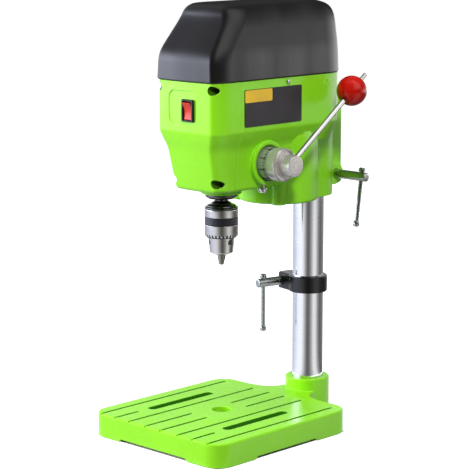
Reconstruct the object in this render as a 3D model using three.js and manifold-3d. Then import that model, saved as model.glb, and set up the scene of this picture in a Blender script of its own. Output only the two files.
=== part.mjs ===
// A mini pillar drill: a grooved table, a column with a stop collar, and a belt-driven head with a
// rack feed and a keyed chuck. Millimetres, +Z up. While it is built, the spindle's axis is x = 0, y = 0,
// the table's feet stand at z = 0, +X is the feed handle's side and +Y runs back to the column.
import * as THREE from "three";
import { mergeVertices } from "three/addons/utils/BufferGeometryUtils.js";
import Module from "manifold-3d";

const wasm = await Module();
wasm.setup();

// Driving dimensions
const throat = 128.2; // from the spindle's axis back to the column's
const headLift = 229; // height of the head casting's underside over the floor
const gap = 0.3; // between pieces that touch or run in each other
const overrun = 1; // how far a cutting tool passes the face that it cuts
const weld = 1e-4; // vertices closer than this are one

const table = {
  width: 180,
  frontReach: 96,
  rearReach: 94,
  height: 24,
  cornerRadius: 13,
  edgeRound: 1.6,
  wall: 6,
  plate: 6,
  footGap: 3.2,
  frontGapHalf: 45,
  sideGapHalf: 41,
  gapSlope: 6,
  footPad: 22,
  holeRadius: 10,
  holeRing: 6,
  ribHalf: 2,
  ribFoot: 8,
};
const groove = { halfWidth: 1.2, depth: 1.4, outer: 75, stub: 54, inner: 34, middle: 10.5 };
const grooveEnds = { rear: 82, stub: -63, middleFront: -31, middleRear: 24.5 };
const slot = { place: 52.5, halfWidth: 4, front: -49, rear: 39 };
const roundShares = { aside: 0.25, down: 0.33 }; // of the table's edge rounding, at its middle ring
const boss = { radius: 23, top: 36.2, webHalf: 50, webWaist: 20, webLand: 12, chamfer: 1 };

const column = { radius: 16, wall: 3, seat: 6, length: 314, chamfer: 1.2 };
const grubScrew = { radius: 4, length: 9, socketRadius: 2.3, socketDepth: 4, drop: 9 };

const collar = {
  bottom: 127,
  height: 17,
  ring: 3.8,
  lugReach: 30,
  earHalf: 18.4,
  slit: 3,
  noseChamfer: 3,
  turn: -12.75,
};
// The two clamp screws and the bars that slide through them
const collarClamp = { offset: 22.4, radius: 4.7, reach: 48, hold: 14, barPlace: 41, edge: 1 };
const headClamp = {
  offset: 25,
  lift: 20,
  radius: 4.7,
  reach: 57,
  hold: 14,
  barPlace: 50,
  lean: 8.5,
  edge: 1,
};
const clampBar = { radius: 2.1, length: 61, endRadius: 3.5, headLength: 4.4, footLength: 6.4 };

const head = {
  halfWidth: 42,
  front: 50,
  rear: 22, // past the column's axis
  corner: 9, // across the front corners
  cornerLength: 21.5, // along them
  bow: 1.6,
  wall: 3.5,
  deck: 128, // top rim over the casting's underside
  breakTop: 79,
  breakBottom: 63,
  breakStep: 6.5,
  breakFront: 4.5,
  nose: 21, // underside of the front part over the casting's underside
  noseHalfWidth: 33.5,
  noseFront: 36.5,
  floor: 4,
  seam: 14, // the front shell ends this far before the spindle's axis
  lowerRear: 66,
};
const breakShare = 0.45; // how much of the step is left half-way up the break
const motorBay = { room: 8.5, offset: 7.4, wall: 4, edge: 1.6, postRadius: 7, postIn: 1.6, postAngle: 44 };
const sleeve = { wall: 8.4, top: 84, slit: 3 };
const ear = { thickness: 7.5, reach: 40, bossRadius: 11, bossOut: 16, bossReach: 8 };
const barrel = { radius: 20, bottom: 15, top: 76 };
const deckPlate = {
  thickness: 4,
  drop: 8,
  lobe: 19.5,
  rearGap: 6,
  motorHole: 14,
  bearingLip: 2,
  shaftHole: 11.5,
};

const tower = {
  radius: 5.6,
  depth: 16,
  recess: 4.4,
  seat: 9,
  upperDrop: 6.6,
  lowerLift: 30,
  upperIn: 6.5,
  lowerIn: 5.5,
};
const shellScrew = { headRadius: 3.7, headHeight: 2.4, shankRadius: 2, length: 22 };

const feedAxis = { back: 26, lift: 46 };
const feedBoss = { radius: 22, out: 40, recess: 17.4, floor: 35.5, tunnel: 15.5 };
const pinion = {
  teeth: 22,
  pitchRadius: 11,
  toothTop: 1,
  toothRoot: 1.15,
  halfWidth: 5.5,
  shaftRadius: 6,
  bushRadius: 13.4,
};
const toothShares = { root: 0.62, pitch: 0.5, tip: 0.24 }; // tooth thickness over the circular pitch
const dial = { radius: 16.5, from: 36.2, width: 9.8, edge: 0.8 };
const hub = { coreRadius: 11.6, flangeWidth: 12, neckRadius: 8.5, neckWidth: 4, edge: 1.6 };
const hubCap = { radius: 10.7, width: 13.6, edge: 1.2, wall: 2.5, rodPlace: 4.4 };
const handle = { radius: 2.8, length: 98, threadRadius: 2, threadLength: 40, edge: 0.5, angle: 36 };
const knob = { radius: 15.2, flat: 1.2, bore: 2.3 };
const springCup = { radius: 16.4, depth: 12, wall: 2, edge: 1.5, plugEnd: 10.5 };
const spiral = { turns: 2.5, thickness: 0.8, width: 6, inner: 8, outer: 13.8, steps: 14 };
const lockScrew = { headRadius: 4.8, headHeight: 5, shankRadius: 2.4, length: 9, out: 31 };

const quill = { radius: 16, bore: 11.4, bottom: 10, top: 84, nose: 2.5, noseRound: 3, mouth: 8 };
const rack = { spareTeeth: 2, halfWidth: 9 };
const feedTravel = 30;
const bearing = { radius: 11, bore: 5.4, width: 6, race: 1.6, groove: 0.5 };
const spindle = { journal: 5, neck: 5.8, splineTip: 4.7, splineRoot: 3.8, splines: 6, aboveHub: 8 };
const splineShare = 0.5; // of the pitch that each spline takes
const spindleNose = { radius: 5.8, tipRadius: 5.4, depth: 18 };
const pulleyBearing = { radius: 14, bore: 8.2, width: 7 };

const pulley = {
  lift: 6,
  steps: 3,
  stepHeight: 10,
  stepRadius: 5,
  spindleLargest: 30,
  motorLargest: 22,
  slope: 2,
  sleeveRadius: 7.8,
  hubRadius: 11,
  hubHeight: 8,
};
const belt = { thickness: 2.6, height: 5.4, step: 1 };
const motor = {
  frontRoom: 5.1,
  rearRoom: 1.2,
  sideRoom: 8,
  bottom: 12,
  topGap: 1,
  edge: 3,
  shaftRadius: 4,
  shaftPast: 4,
  noseRadius: 12,
  noseHeight: 3,
};
const motorCover = { thickness: 3, ledge: 2.5, ventHalf: 1.6, vents: 5, edge: 0.6 };
const ventShares = { reach: 0.857, pitch: 0.286 }; // of the motor's radius

const cover = {
  overhang: 1.4,
  wall: 2.6,
  height: 72.5,
  lipDepth: 8,
  lipWall: 2,
  shoulder: 26,
  ridge: 58,
  crown: 68,
};
const coverDraft = { shoulder: 0.8, ridge: 5, crown: 8, top: 12 };
const coverSlope = { shoulder: 0.8, ridge: 24.5, crown: 27, top: 33 };
const coverRear = { shoulder: 1, ridge: 4.5, crown: 12, top: 30 };
const coverScrew = { headRadius: 2.6, headHeight: 2, shankRadius: 1.5, length: 9, back: 50, drop: 3.6 };

// The flat panel round the switch: its plane leans into the casting on the left and comes out on the right
const panel = {
  left: 21,
  right: 33,
  below: 16.6,
  above: 16.2,
  corner: 8,
  leftDepth: 50.2,
  rightDepth: 51.65,
};
const switchPlate = {
  place: 6.7,
  belowMiddle: 2.5,
  width: 16.4,
  height: 21.6,
  thickness: 2.4,
  bodyWidth: 13.6,
  bodyHeight: 19,
  bodyDepth: 15,
};
const rocker = {
  width: 11,
  height: 16.6,
  valley: 1,
  rise: 2.9,
  back: 4.6,
  taper: 1,
  well: 8,
  slack: 0.9,
  tilt: 9,
  pivotIn: 0.4,
};

const chuckLift = 5; // top of the chuck's cap over the head casting's underside
const chuckCap = {
  height: 7.5,
  neckRadius: 7.2,
  topRadius: 9,
  bellRadius: 12.2,
  bellHeight: 3.2,
  edge: 1,
};
const chuckBody = {
  radius: 12.2,
  tipRadius: 10.6,
  rimRadius: 16.2,
  rimHeight: 7.7,
  length: 36.8,
  bore: 5.2,
  boreDepth: 31,
  edge: 1.4,
};
const chuckSleeve = { length: 20.5, radius: 16.2, wall: 2.8, teeth: 28, toothHeight: 2.6, toothDepth: 3 };
const chuckBand = { height: 8.1, radius: 16.6, depth: 0.9 };
const chuckNut = { lift: 3.6, height: 5.6, inner: 9.4 };
const keyHole = { radius: 2.9, lift: 9.6, depth: 4 };
const jaw = {
  radius: 2.9,
  slant: 14,
  tipRadius: 2.1,
  out: 9.6,
  length: 34,
  stroke: 11,
  count: 3,
  slack: 0.25,
};
const toothShare = 0.5; // of the bevel teeth's pitch that each gap takes

const gland = { radius: 6.5, bore: 3, flange: 9, tip: 12, inside: 6, place: -24, belowMiddle: 11.5 };

const facets = { large: 20, part: 12, small: 10, screw: 6, corner: 3 };

// Colours as they look, with the finish of each
const finishes = {
  paint: { color: "#86d630", roughness: 0.35, metalness: 0 },
  blackPlastic: { color: "#3a3838", roughness: 0.5, metalness: 0 },
  blackPaint: { color: "#26282b", roughness: 0.4, metalness: 0.2 },
  chrome: { color: "#cfcfd2", roughness: 0.15, metalness: 1 },
  steel: { color: "#9aa09a", roughness: 0.3, metalness: 1 },
  darkSteel: { color: "#3f4244", roughness: 0.45, metalness: 0.8 },
  rubber: { color: "#2c2b30", roughness: 0.8, metalness: 0 },
  redKnob: { color: "#a81c08", roughness: 0.25, metalness: 0 },
  redLens: { color: "#c8452c", roughness: 0.3, metalness: 0 },
  aluminium: { color: "#b9bcbd", roughness: 0.4, metalness: 1 },
};

// Solids
function toSolid(geometry) {
  const bare = geometry.index ? geometry.toNonIndexed() : geometry.clone();
  bare.deleteAttribute("normal");
  bare.deleteAttribute("uv");
  const merged = mergeVertices(bare, weld);
  const corners = [];
  const index = merged.index.array;
  for (let i = 0; i < index.length; i += 3) {
    const [a, b, c] = [index[i], index[i + 1], index[i + 2]];
    if (a !== b && b !== c && c !== a) corners.push(a, b, c);
  }
  return new wasm.Manifold(
    new wasm.Mesh({
      numProp: 3,
      vertProperties: merged.attributes.position.array,
      triVerts: new Uint32Array(corners),
    }),
  );
}

function toGeometry(solid) {
  const mesh = solid.getMesh();
  const geometry = new THREE.BufferGeometry();
  geometry.setAttribute("position", new THREE.BufferAttribute(mesh.vertProperties, mesh.numProp));
  geometry.setIndex(new THREE.BufferAttribute(mesh.triVerts, 1));
  geometry.computeVertexNormals();
  return geometry;
}

function join(first, ...rest) {
  return rest.reduce((whole, next) => whole.add(next), first);
}

function cut(solid, ...tools) {
  return tools.reduce((left, tool) => left.subtract(tool), solid);
}

function addPiece(parent, name, solid, finish) {
  const mesh = new THREE.Mesh(toGeometry(solid), new THREE.MeshStandardMaterial(finish));
  mesh.name = name;
  parent.add(mesh);
  return mesh;
}

function addGroup(parent, x, y, z) {
  const group = new THREE.Group();
  group.position.set(x, y, z);
  parent.add(group);
  return group;
}

// Turns a shape that stands along +Z so that it points along an axis
function pointAlong(geometry, axis) {
  if (axis === "x") geometry.rotateY(Math.PI / 2);
  if (axis === "y") geometry.rotateX(-Math.PI / 2);
  return geometry;
}

// Moves a shape: along its axis, and to the other two coordinates in x, y, z order
function shift(geometry, axis, along, [first, second]) {
  if (axis === "x") geometry.translate(along, first, second);
  if (axis === "y") geometry.translate(first, along, second);
  if (axis === "z") geometry.translate(first, second, along);
  return geometry;
}

// A round bar or a cone between two places on an axis
function bar({ axis = "z", radius, endRadius = radius, from, to, at = [0, 0], sides = facets.part }) {
  const geometry = new THREE.CylinderGeometry(endRadius, radius, to - from, sides);
  geometry.rotateX(Math.PI / 2);
  return toSolid(shift(pointAlong(geometry, axis), axis, (from + to) / 2, at));
}

function block([x0, x1], [y0, y1], [z0, z1]) {
  const geometry = new THREE.BoxGeometry(x1 - x0, y1 - y0, z1 - z0);
  return toSolid(geometry.translate((x0 + x1) / 2, (y0 + y1) / 2, (z0 + z1) / 2));
}

// A flat outline raised from one height to another
function prism(shape, from, to, curveSegments = facets.corner) {
  const options = { depth: to - from, bevelEnabled: false, curveSegments };
  return toSolid(new THREE.ExtrudeGeometry(shape, options).translate(0, 0, from));
}

// A closed profile of [radius, place] points turned about an axis
function revolve(profile, { axis = "z", at = [0, 0], sides = facets.part } = {}) {
  const points = profile.map(([radius, place]) => new THREE.Vector2(radius, place));
  if (THREE.ShapeUtils.area(points) < 0) points.reverse();
  points.push(points[0].clone());
  const geometry = new THREE.LatheGeometry(points, sides);
  geometry.rotateX(Math.PI / 2);
  return toSolid(shift(pointAlong(geometry, axis), axis, 0, at));
}

// A skin through outlines of equal point counts, each at its own height, closed at both ends
function loft(levels) {
  const rings = levels.map(({ outline, z }) => outline.map((p) => [p.x, p.y, z]));
  const count = rings[0].length;
  const faces = [];
  for (let level = 0; level + 1 < rings.length; level++) {
    for (let i = 0; i < count; i++) {
      const next = (i + 1) % count;
      const [a, b] = [rings[level][i], rings[level][next]];
      const [c, d] = [rings[level + 1][next], rings[level + 1][i]];
      faces.push(a, b, c, a, c, d);
    }
  }
  const [bottom, top] = [levels[0], levels[levels.length - 1]];
  for (const [i, j, k] of THREE.ShapeUtils.triangulateShape(bottom.outline, [])) {
    faces.push(rings[0][k], rings[0][j], rings[0][i]);
  }
  const last = rings.length - 1;
  for (const [i, j, k] of THREE.ShapeUtils.triangulateShape(top.outline, [])) {
    faces.push(rings[last][i], rings[last][j], rings[last][k]);
  }
  const geometry = new THREE.BufferGeometry();
  geometry.setAttribute("position", new THREE.Float32BufferAttribute(faces.flat(), 3));
  return toSolid(geometry);
}

// A rounded rectangle, given by its sides and its corners; the front ones may be longer than they are wide
function roundedOutline({
  halfWidth,
  front,
  rear,
  corner,
  cornerLength = corner,
  rearCorner = corner,
  bow = 0,
}) {
  const quarter = Math.PI / 2;
  const [wide, long] = [Math.max(corner, weld), Math.max(cornerLength, weld)];
  const rearRadius = Math.min(rearCorner, halfWidth);
  const shape = new THREE.Shape();
  shape.moveTo(-halfWidth + wide, front);
  shape.quadraticCurveTo(0, front - bow - bow, halfWidth - wide, front);
  shape.absellipse(halfWidth - wide, front + long, wide, long, -quarter, 0, false);
  shape.absarc(halfWidth - rearRadius, rear - rearRadius, rearRadius, 0, quarter, false);
  shape.absarc(-halfWidth + rearRadius, rear - rearRadius, rearRadius, quarter, 2 * quarter, false);
  shape.absellipse(-halfWidth + wide, front + long, wide, long, 2 * quarter, 3 * quarter, false);
  return shape;
}

// A ring of the same outline at a height, for a loft
function levelOf(sizes, z) {
  const points = roundedOutline(sizes).getPoints(facets.corner);
  const kept = points.filter((p, i) => i === 0 || p.distanceTo(points[i - 1]) > weld);
  if (kept[0].distanceTo(kept[kept.length - 1]) < weld) kept.pop();
  return { outline: kept, z };
}

// A pan-head screw with a slot, its head's underside at z = 0 and its shank below
function panScrew({ headRadius, headHeight, shankRadius, length }) {
  const [rimShare, crownShare, slotShare] = [0.55, 0.6, 0.14];
  const body = revolve(
    [
      [0, -length],
      [shankRadius, -length],
      [shankRadius, 0],
      [headRadius, 0],
      [headRadius, headHeight * rimShare],
      [headRadius * crownShare, headHeight],
      [0, headHeight],
    ],
    { sides: facets.screw },
  );
  const half = headRadius * slotShare;
  const depth = [headHeight * rimShare, headHeight + overrun];
  return cut(body, block([-headRadius, headRadius], [-half, half], depth));
}

// Table
function tableOutline(inset) {
  return roundedOutline({
    halfWidth: table.width / 2 - inset,
    front: -table.frontReach + inset,
    rear: table.rearReach - inset,
    corner: table.cornerRadius - inset,
  });
}

// The lobe that carries the column's boss, with sides that sweep in from the table's rear edge
function lobeOutline(inset) {
  const start = table.rearReach - boss.webLand;
  const half = boss.webHalf - inset;
  const waist = boss.webWaist - inset;
  const shape = new THREE.Shape();
  shape.moveTo(half, start);
  shape.lineTo(half, table.rearReach - inset);
  shape.quadraticCurveTo(waist, table.rearReach + inset, waist, throat - inset);
  shape.lineTo(-waist, throat - inset);
  shape.quadraticCurveTo(-waist, table.rearReach + inset, -half, table.rearReach - inset);
  shape.lineTo(-half, start);
  return shape;
}

function footGaps() {
  const side = table.width / 2;
  const cutAcross = (half, low, high) => {
    const shape = new THREE.Shape();
    shape.moveTo(-half - table.gapSlope, -overrun);
    shape.lineTo(half + table.gapSlope, -overrun);
    shape.lineTo(half, table.footGap);
    shape.lineTo(-half, table.footGap);
    const geometry = new THREE.ExtrudeGeometry(shape, { depth: high - low, bevelEnabled: false });
    return geometry.rotateX(Math.PI / 2).translate(0, high, 0);
  };
  const frontEdge = -table.frontReach;
  const front = cutAcross(table.frontGapHalf, frontEdge - overrun, frontEdge + table.wall + overrun);
  const sides = cutAcross(table.sideGapHalf, -side - overrun, side + overrun);
  return [toSolid(front), toSolid(sides.rotateZ(Math.PI / 2))];
}

function grooves() {
  const [depth, top] = [table.height - groove.depth, table.height + overrun];
  const frontEdge = -table.frontReach - overrun;
  const half = groove.halfWidth;
  const line = (x, from, to) => block([x - half, x + half], [from, to], [depth, top]);
  return [-1, 1].flatMap((side) => [
    line(side * groove.outer, frontEdge, grooveEnds.rear),
    line(side * groove.stub, frontEdge, grooveEnds.stub),
    line(side * groove.inner, frontEdge, grooveEnds.rear),
    line(side * groove.middle, frontEdge, grooveEnds.middleFront),
    line(side * groove.middle, grooveEnds.middleRear, grooveEnds.rear),
  ]);
}

function throughSlots() {
  const outline = new THREE.Shape();
  outline.absarc(0, slot.rear - slot.halfWidth, slot.halfWidth, 0, Math.PI, false);
  outline.absarc(0, slot.front + slot.halfWidth, slot.halfWidth, Math.PI, 2 * Math.PI, false);
  return [-1, 1].map((side) => {
    const geometry = new THREE.ExtrudeGeometry(outline, {
      depth: table.height + overrun,
      bevelEnabled: false,
      curveSegments: facets.corner,
    });
    return toSolid(geometry.translate(side * slot.place, 0, 0));
  });
}

function tableCasting() {
  const { height, wall, plate, edgeRound } = table;
  const under = height - plate;
  const top = loft([
    { outline: tableOutline(0).getPoints(facets.corner), z: 0 },
    { outline: tableOutline(0).getPoints(facets.corner), z: height - edgeRound },
    {
      outline: tableOutline(edgeRound * roundShares.aside).getPoints(facets.corner),
      z: height - edgeRound * roundShares.down,
    },
    { outline: tableOutline(edgeRound).getPoints(facets.corner), z: height },
  ]);
  const bossAt = [0, throat];
  const bossSolid = revolve(
    [
      [0, 0],
      [boss.radius, 0],
      [boss.radius, boss.top - boss.chamfer],
      [boss.radius - boss.chamfer, boss.top],
      [0, boss.top],
    ],
    { at: bossAt, sides: facets.large },
  );
  const hollow = prism(tableOutline(wall), -overrun, under);
  const lobeHollow = prism(lobeOutline(wall), -overrun, under);
  const ribs = [-1, 1].flatMap((side) => {
    const ribAt = side * (slot.place - slot.halfWidth - wall);
    const reach = [-table.frontReach + wall / 2, table.rearReach - wall / 2];
    const width = [ribAt - table.ribHalf, ribAt + table.ribHalf];
    return [block(width, reach, [table.ribFoot, under + overrun])];
  });
  const pads = [-1, 1].flatMap((side) =>
    [-table.frontReach, table.rearReach - table.footPad].map((y) => {
      const edge = (side * table.width) / 2;
      const inner = edge - side * table.footPad;
      const across = [Math.min(edge, inner), Math.max(edge, inner)];
      return block(across, [y, y + table.footPad], [0, under + overrun]);
    }),
  );
  const outer = join(top, prism(lobeOutline(0), 0, height));
  const frame = join(
    cut(outer, hollow, lobeHollow),
    ...pads.map((pad) => pad.intersect(top)),
    ...ribs,
    bar({ radius: table.holeRadius + table.holeRing, from: table.ribFoot, to: under + overrun }),
    bossSolid,
  );
  return cut(
    frame,
    ...footGaps(),
    ...grooves(),
    ...throughSlots(),
    bar({ radius: table.holeRadius, from: 0, to: height + overrun }),
    bar({
      radius: column.radius + gap,
      from: column.seat,
      to: boss.top + overrun,
      at: bossAt,
      sides: facets.large,
    }),
    bar({ radius: column.radius - column.wall, from: -overrun, to: column.seat + overrun, at: bossAt }),
    bar({
      axis: "y",
      radius: grubScrew.radius + gap,
      from: throat,
      to: throat + boss.radius + overrun,
      at: [0, boss.top - grubScrew.drop],
      sides: facets.small,
    }),
  );
}

function columnTube() {
  const { radius, wall, chamfer, length } = column;
  const bottom = column.seat + gap;
  const top = bottom + length;
  return revolve(
    [
      [radius - wall, bottom],
      [radius - chamfer, bottom],
      [radius, bottom + chamfer],
      [radius, top - chamfer],
      [radius - chamfer, top],
      [radius - wall, top],
    ],
    { at: [0, throat], sides: facets.large },
  );
}

function columnGrubScrew() {
  const from = throat + column.radius + gap;
  const at = [0, boss.top - grubScrew.drop];
  const to = from + grubScrew.length;
  const socket = {
    axis: "y",
    radius: grubScrew.socketRadius,
    from: to - grubScrew.socketDepth,
    to: to + overrun,
    at,
    sides: facets.screw,
  };
  return cut(bar({ axis: "y", radius: grubScrew.radius, from, to, at, sides: facets.small }), bar(socket));
}

// Clamp screws and their sliding bars
// A clamp screw along +Y from its tip at y = -hold, with a cross hole for the bar
function clampScrew({ radius, reach, hold, barPlace, edge }) {
  const body = revolve(
    [
      [0, -hold],
      [radius - edge, -hold],
      [radius, edge - hold],
      [radius, reach - edge],
      [radius - edge, reach],
      [0, reach],
    ],
    { axis: "y", sides: facets.small },
  );
  const hole = bar({
    radius: clampBar.radius + gap,
    from: -radius - overrun,
    to: radius + overrun,
    at: [0, barPlace],
    sides: facets.small,
  });
  return cut(body, hole);
}

// A bar hanging down through the screw's cross hole, its upper head resting on the screw
function slidingBar(screwRadius) {
  const { radius, length, endRadius, headLength, footLength } = clampBar;
  const top = screwRadius + gap + headLength;
  const edge = endRadius - radius;
  const profile = (from, to) => [
    [0, from],
    [radius, from],
    [endRadius, from + edge],
    [endRadius, to - edge],
    [radius, to],
    [0, to],
  ];
  return join(
    bar({ radius, from: top - length + edge, to: top - edge, sides: facets.small }),
    revolve(profile(top - headLength, top), { sides: facets.small }),
    revolve(profile(top - length, top - length + footLength), { sides: facets.small }),
  );
}

// Stop collar, built round its own axis with its lug along -X
function stopCollar() {
  const { height, ring, lugReach, earHalf, slit, noseChamfer } = collar;
  const bore = column.radius + gap;
  const outer = bore + ring;
  const lug = new THREE.Shape();
  const half = Math.min(earHalf, outer);
  lug.moveTo(0, -half);
  lug.lineTo(0, half);
  lug.lineTo(-lugReach + noseChamfer, half);
  lug.lineTo(-lugReach, half - noseChamfer);
  lug.lineTo(-lugReach, -half + noseChamfer);
  lug.lineTo(-lugReach + noseChamfer, -half);
  const screwAt = [-collarClamp.offset, height / 2];
  return cut(
    join(bar({ radius: outer, from: 0, to: height, sides: facets.large }), prism(lug, 0, height)),
    bar({ radius: bore, from: -overrun, to: height + overrun, sides: facets.large }),
    block([-lugReach - overrun, 0], [-slit / 2, slit / 2], [-overrun, height + overrun]),
    bar({
      axis: "y",
      radius: collarClamp.radius + gap,
      from: -outer - overrun,
      to: collarClamp.hold + gap,
      at: screwAt,
      sides: facets.small,
    }),
  );
}

// Head outlines, in the head's own heights over the casting's underside
function upperLevels(inset, bottom, top) {
  const { breakBottom, breakTop, breakStep, breakFront } = head;
  const sizes = (share) => ({
    halfWidth: head.halfWidth - inset - breakStep * share,
    front: -head.front + inset + breakFront * share,
    rear: throat + head.rear - inset - breakStep * share,
    corner: head.corner - inset / 2,
    cornerLength: head.cornerLength - inset / 2,
    rearCorner: head.halfWidth - inset - breakStep * share,
    bow: head.bow,
  });
  const middle = (breakBottom + breakTop) / 2;
  return [
    levelOf(sizes(1), bottom),
    levelOf(sizes(breakShare), middle + inset / 2),
    levelOf(sizes(0), breakTop + inset / 2),
    levelOf(sizes(0), top),
  ];
}

function lowerLevels(inset, bottom, top) {
  const widening = head.halfWidth - head.breakStep - head.noseHalfWidth;
  const lengthening = head.front - head.breakFront - head.noseFront;
  const sizes = (share, rim) => ({
    halfWidth: head.noseHalfWidth + widening * share - inset - rim,
    front: -head.noseFront - lengthening * share + inset + rim,
    rear: head.lowerRear,
    corner: head.corner - inset / 2,
    cornerLength: head.cornerLength - inset / 2,
    rearCorner: weld,
    bow: head.bow,
  });
  const rim = inset > 0 ? 0 : gap + overrun;
  const middle = levelOf(sizes(0, 0), bottom + rim + gap);
  return [levelOf(sizes(0, rim), bottom), middle, levelOf(sizes(1, 0), top)];
}

function headEnvelope() {
  const { nose, breakBottom, deck } = head;
  return join(
    loft(upperLevels(0, breakBottom, deck)),
    loft(lowerLevels(0, nose, breakBottom + overrun)),
  );
}

function headHollow() {
  const { nose, floor, wall, breakBottom, deck } = head;
  return join(
    loft(upperLevels(wall, breakBottom + wall, deck + overrun)),
    loft(lowerLevels(wall, nose + floor, breakBottom + wall + overrun)),
  );
}

const deckTop = head.deck - deckPlate.drop;
const deckBottom = deckTop - deckPlate.thickness;
const panelMiddle = (head.breakTop + head.deck) / 2;
const switchLift = panelMiddle - switchPlate.belowMiddle;
const switchFace = -head.front - head.bow;
const towers = [-1, 1].flatMap((side) => {
  const sideName = side < 0 ? "left" : "right";
  return [
    {
      name: `upper_${sideName}`,
      x: side * (head.halfWidth - tower.upperIn),
      z: head.deck - tower.upperDrop,
    },
    { name: `lower_${sideName}`, x: side * (head.noseHalfWidth - tower.lowerIn), z: tower.lowerLift },
  ];
});

// The motor fills what the feed's tunnel, the column's sleeve and the head's sides leave it
const sleeveFront = throat - column.radius - sleeve.wall;
const tunnelRear = feedAxis.back + feedBoss.tunnel;
const roomAlong = (sleeveFront - tunnelRear - motor.frontRoom - motor.rearRoom) / 2;
const motorRadius = Math.min(roomAlong, head.halfWidth - head.wall - motor.sideRoom);
const motorPlace = sleeveFront - motor.rearRoom - motorRadius;
const bayInner = motorRadius + motorBay.room;
const bayPlace = motorPlace + motorBay.offset;

function feedBore(radius, from, to, sides = facets.part) {
  return bar({ axis: "x", radius, from, to, at: [feedAxis.back, feedAxis.lift], sides });
}

function columnSleeve() {
  const radius = column.radius + sleeve.wall;
  return join(
    bar({ radius, from: 0, to: sleeve.top, at: [0, throat], sides: facets.large }),
    block([-radius, radius], [throat - radius, throat], [0, sleeve.top]),
  );
}

function clampEars() {
  const { thickness, reach, bossRadius, bossOut, bossReach } = ear;
  const half = sleeve.slit / 2 + thickness;
  const bossBack = throat + headClamp.offset;
  return join(
    block([-half, half], [throat, throat + reach], [headClamp.lift - bossRadius, head.breakTop]),
    bar({ axis: "x", radius: bossRadius, from: -bossOut, to: bossOut, at: [bossBack, headClamp.lift] }),
    block(
      [-bossOut, bossOut],
      [throat, bossBack],
      [headClamp.lift - bossRadius, headClamp.lift + bossRadius],
    ),
    block(
      [-bossOut, bossOut],
      [bossBack, bossBack + bossReach],
      [headClamp.lift - bossReach, headClamp.lift + bossReach],
    ),
  );
}

function motorBayOutside() {
  const { wall, edge, postRadius, postIn, postAngle } = motorBay;
  const radius = bayInner + wall;
  const angle = THREE.MathUtils.degToRad(postAngle);
  const out = (radius - postIn) * Math.sin(angle);
  const back = bayPlace - (radius - postIn) * Math.cos(angle);
  const posts = [-1, 1].map((side) =>
    bar({ radius: postRadius, from: 0, to: feedAxis.lift - feedBoss.radius / 2, at: [side * out, back] }),
  );
  const top = (head.breakBottom + head.breakTop) / 2;
  const drum = revolve(
    [
      [0, 0],
      [radius - edge, 0],
      [radius, edge],
      [radius, top],
      [0, top],
    ],
    { at: [0, bayPlace], sides: facets.large },
  );
  return join(drum, ...posts);
}

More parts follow.
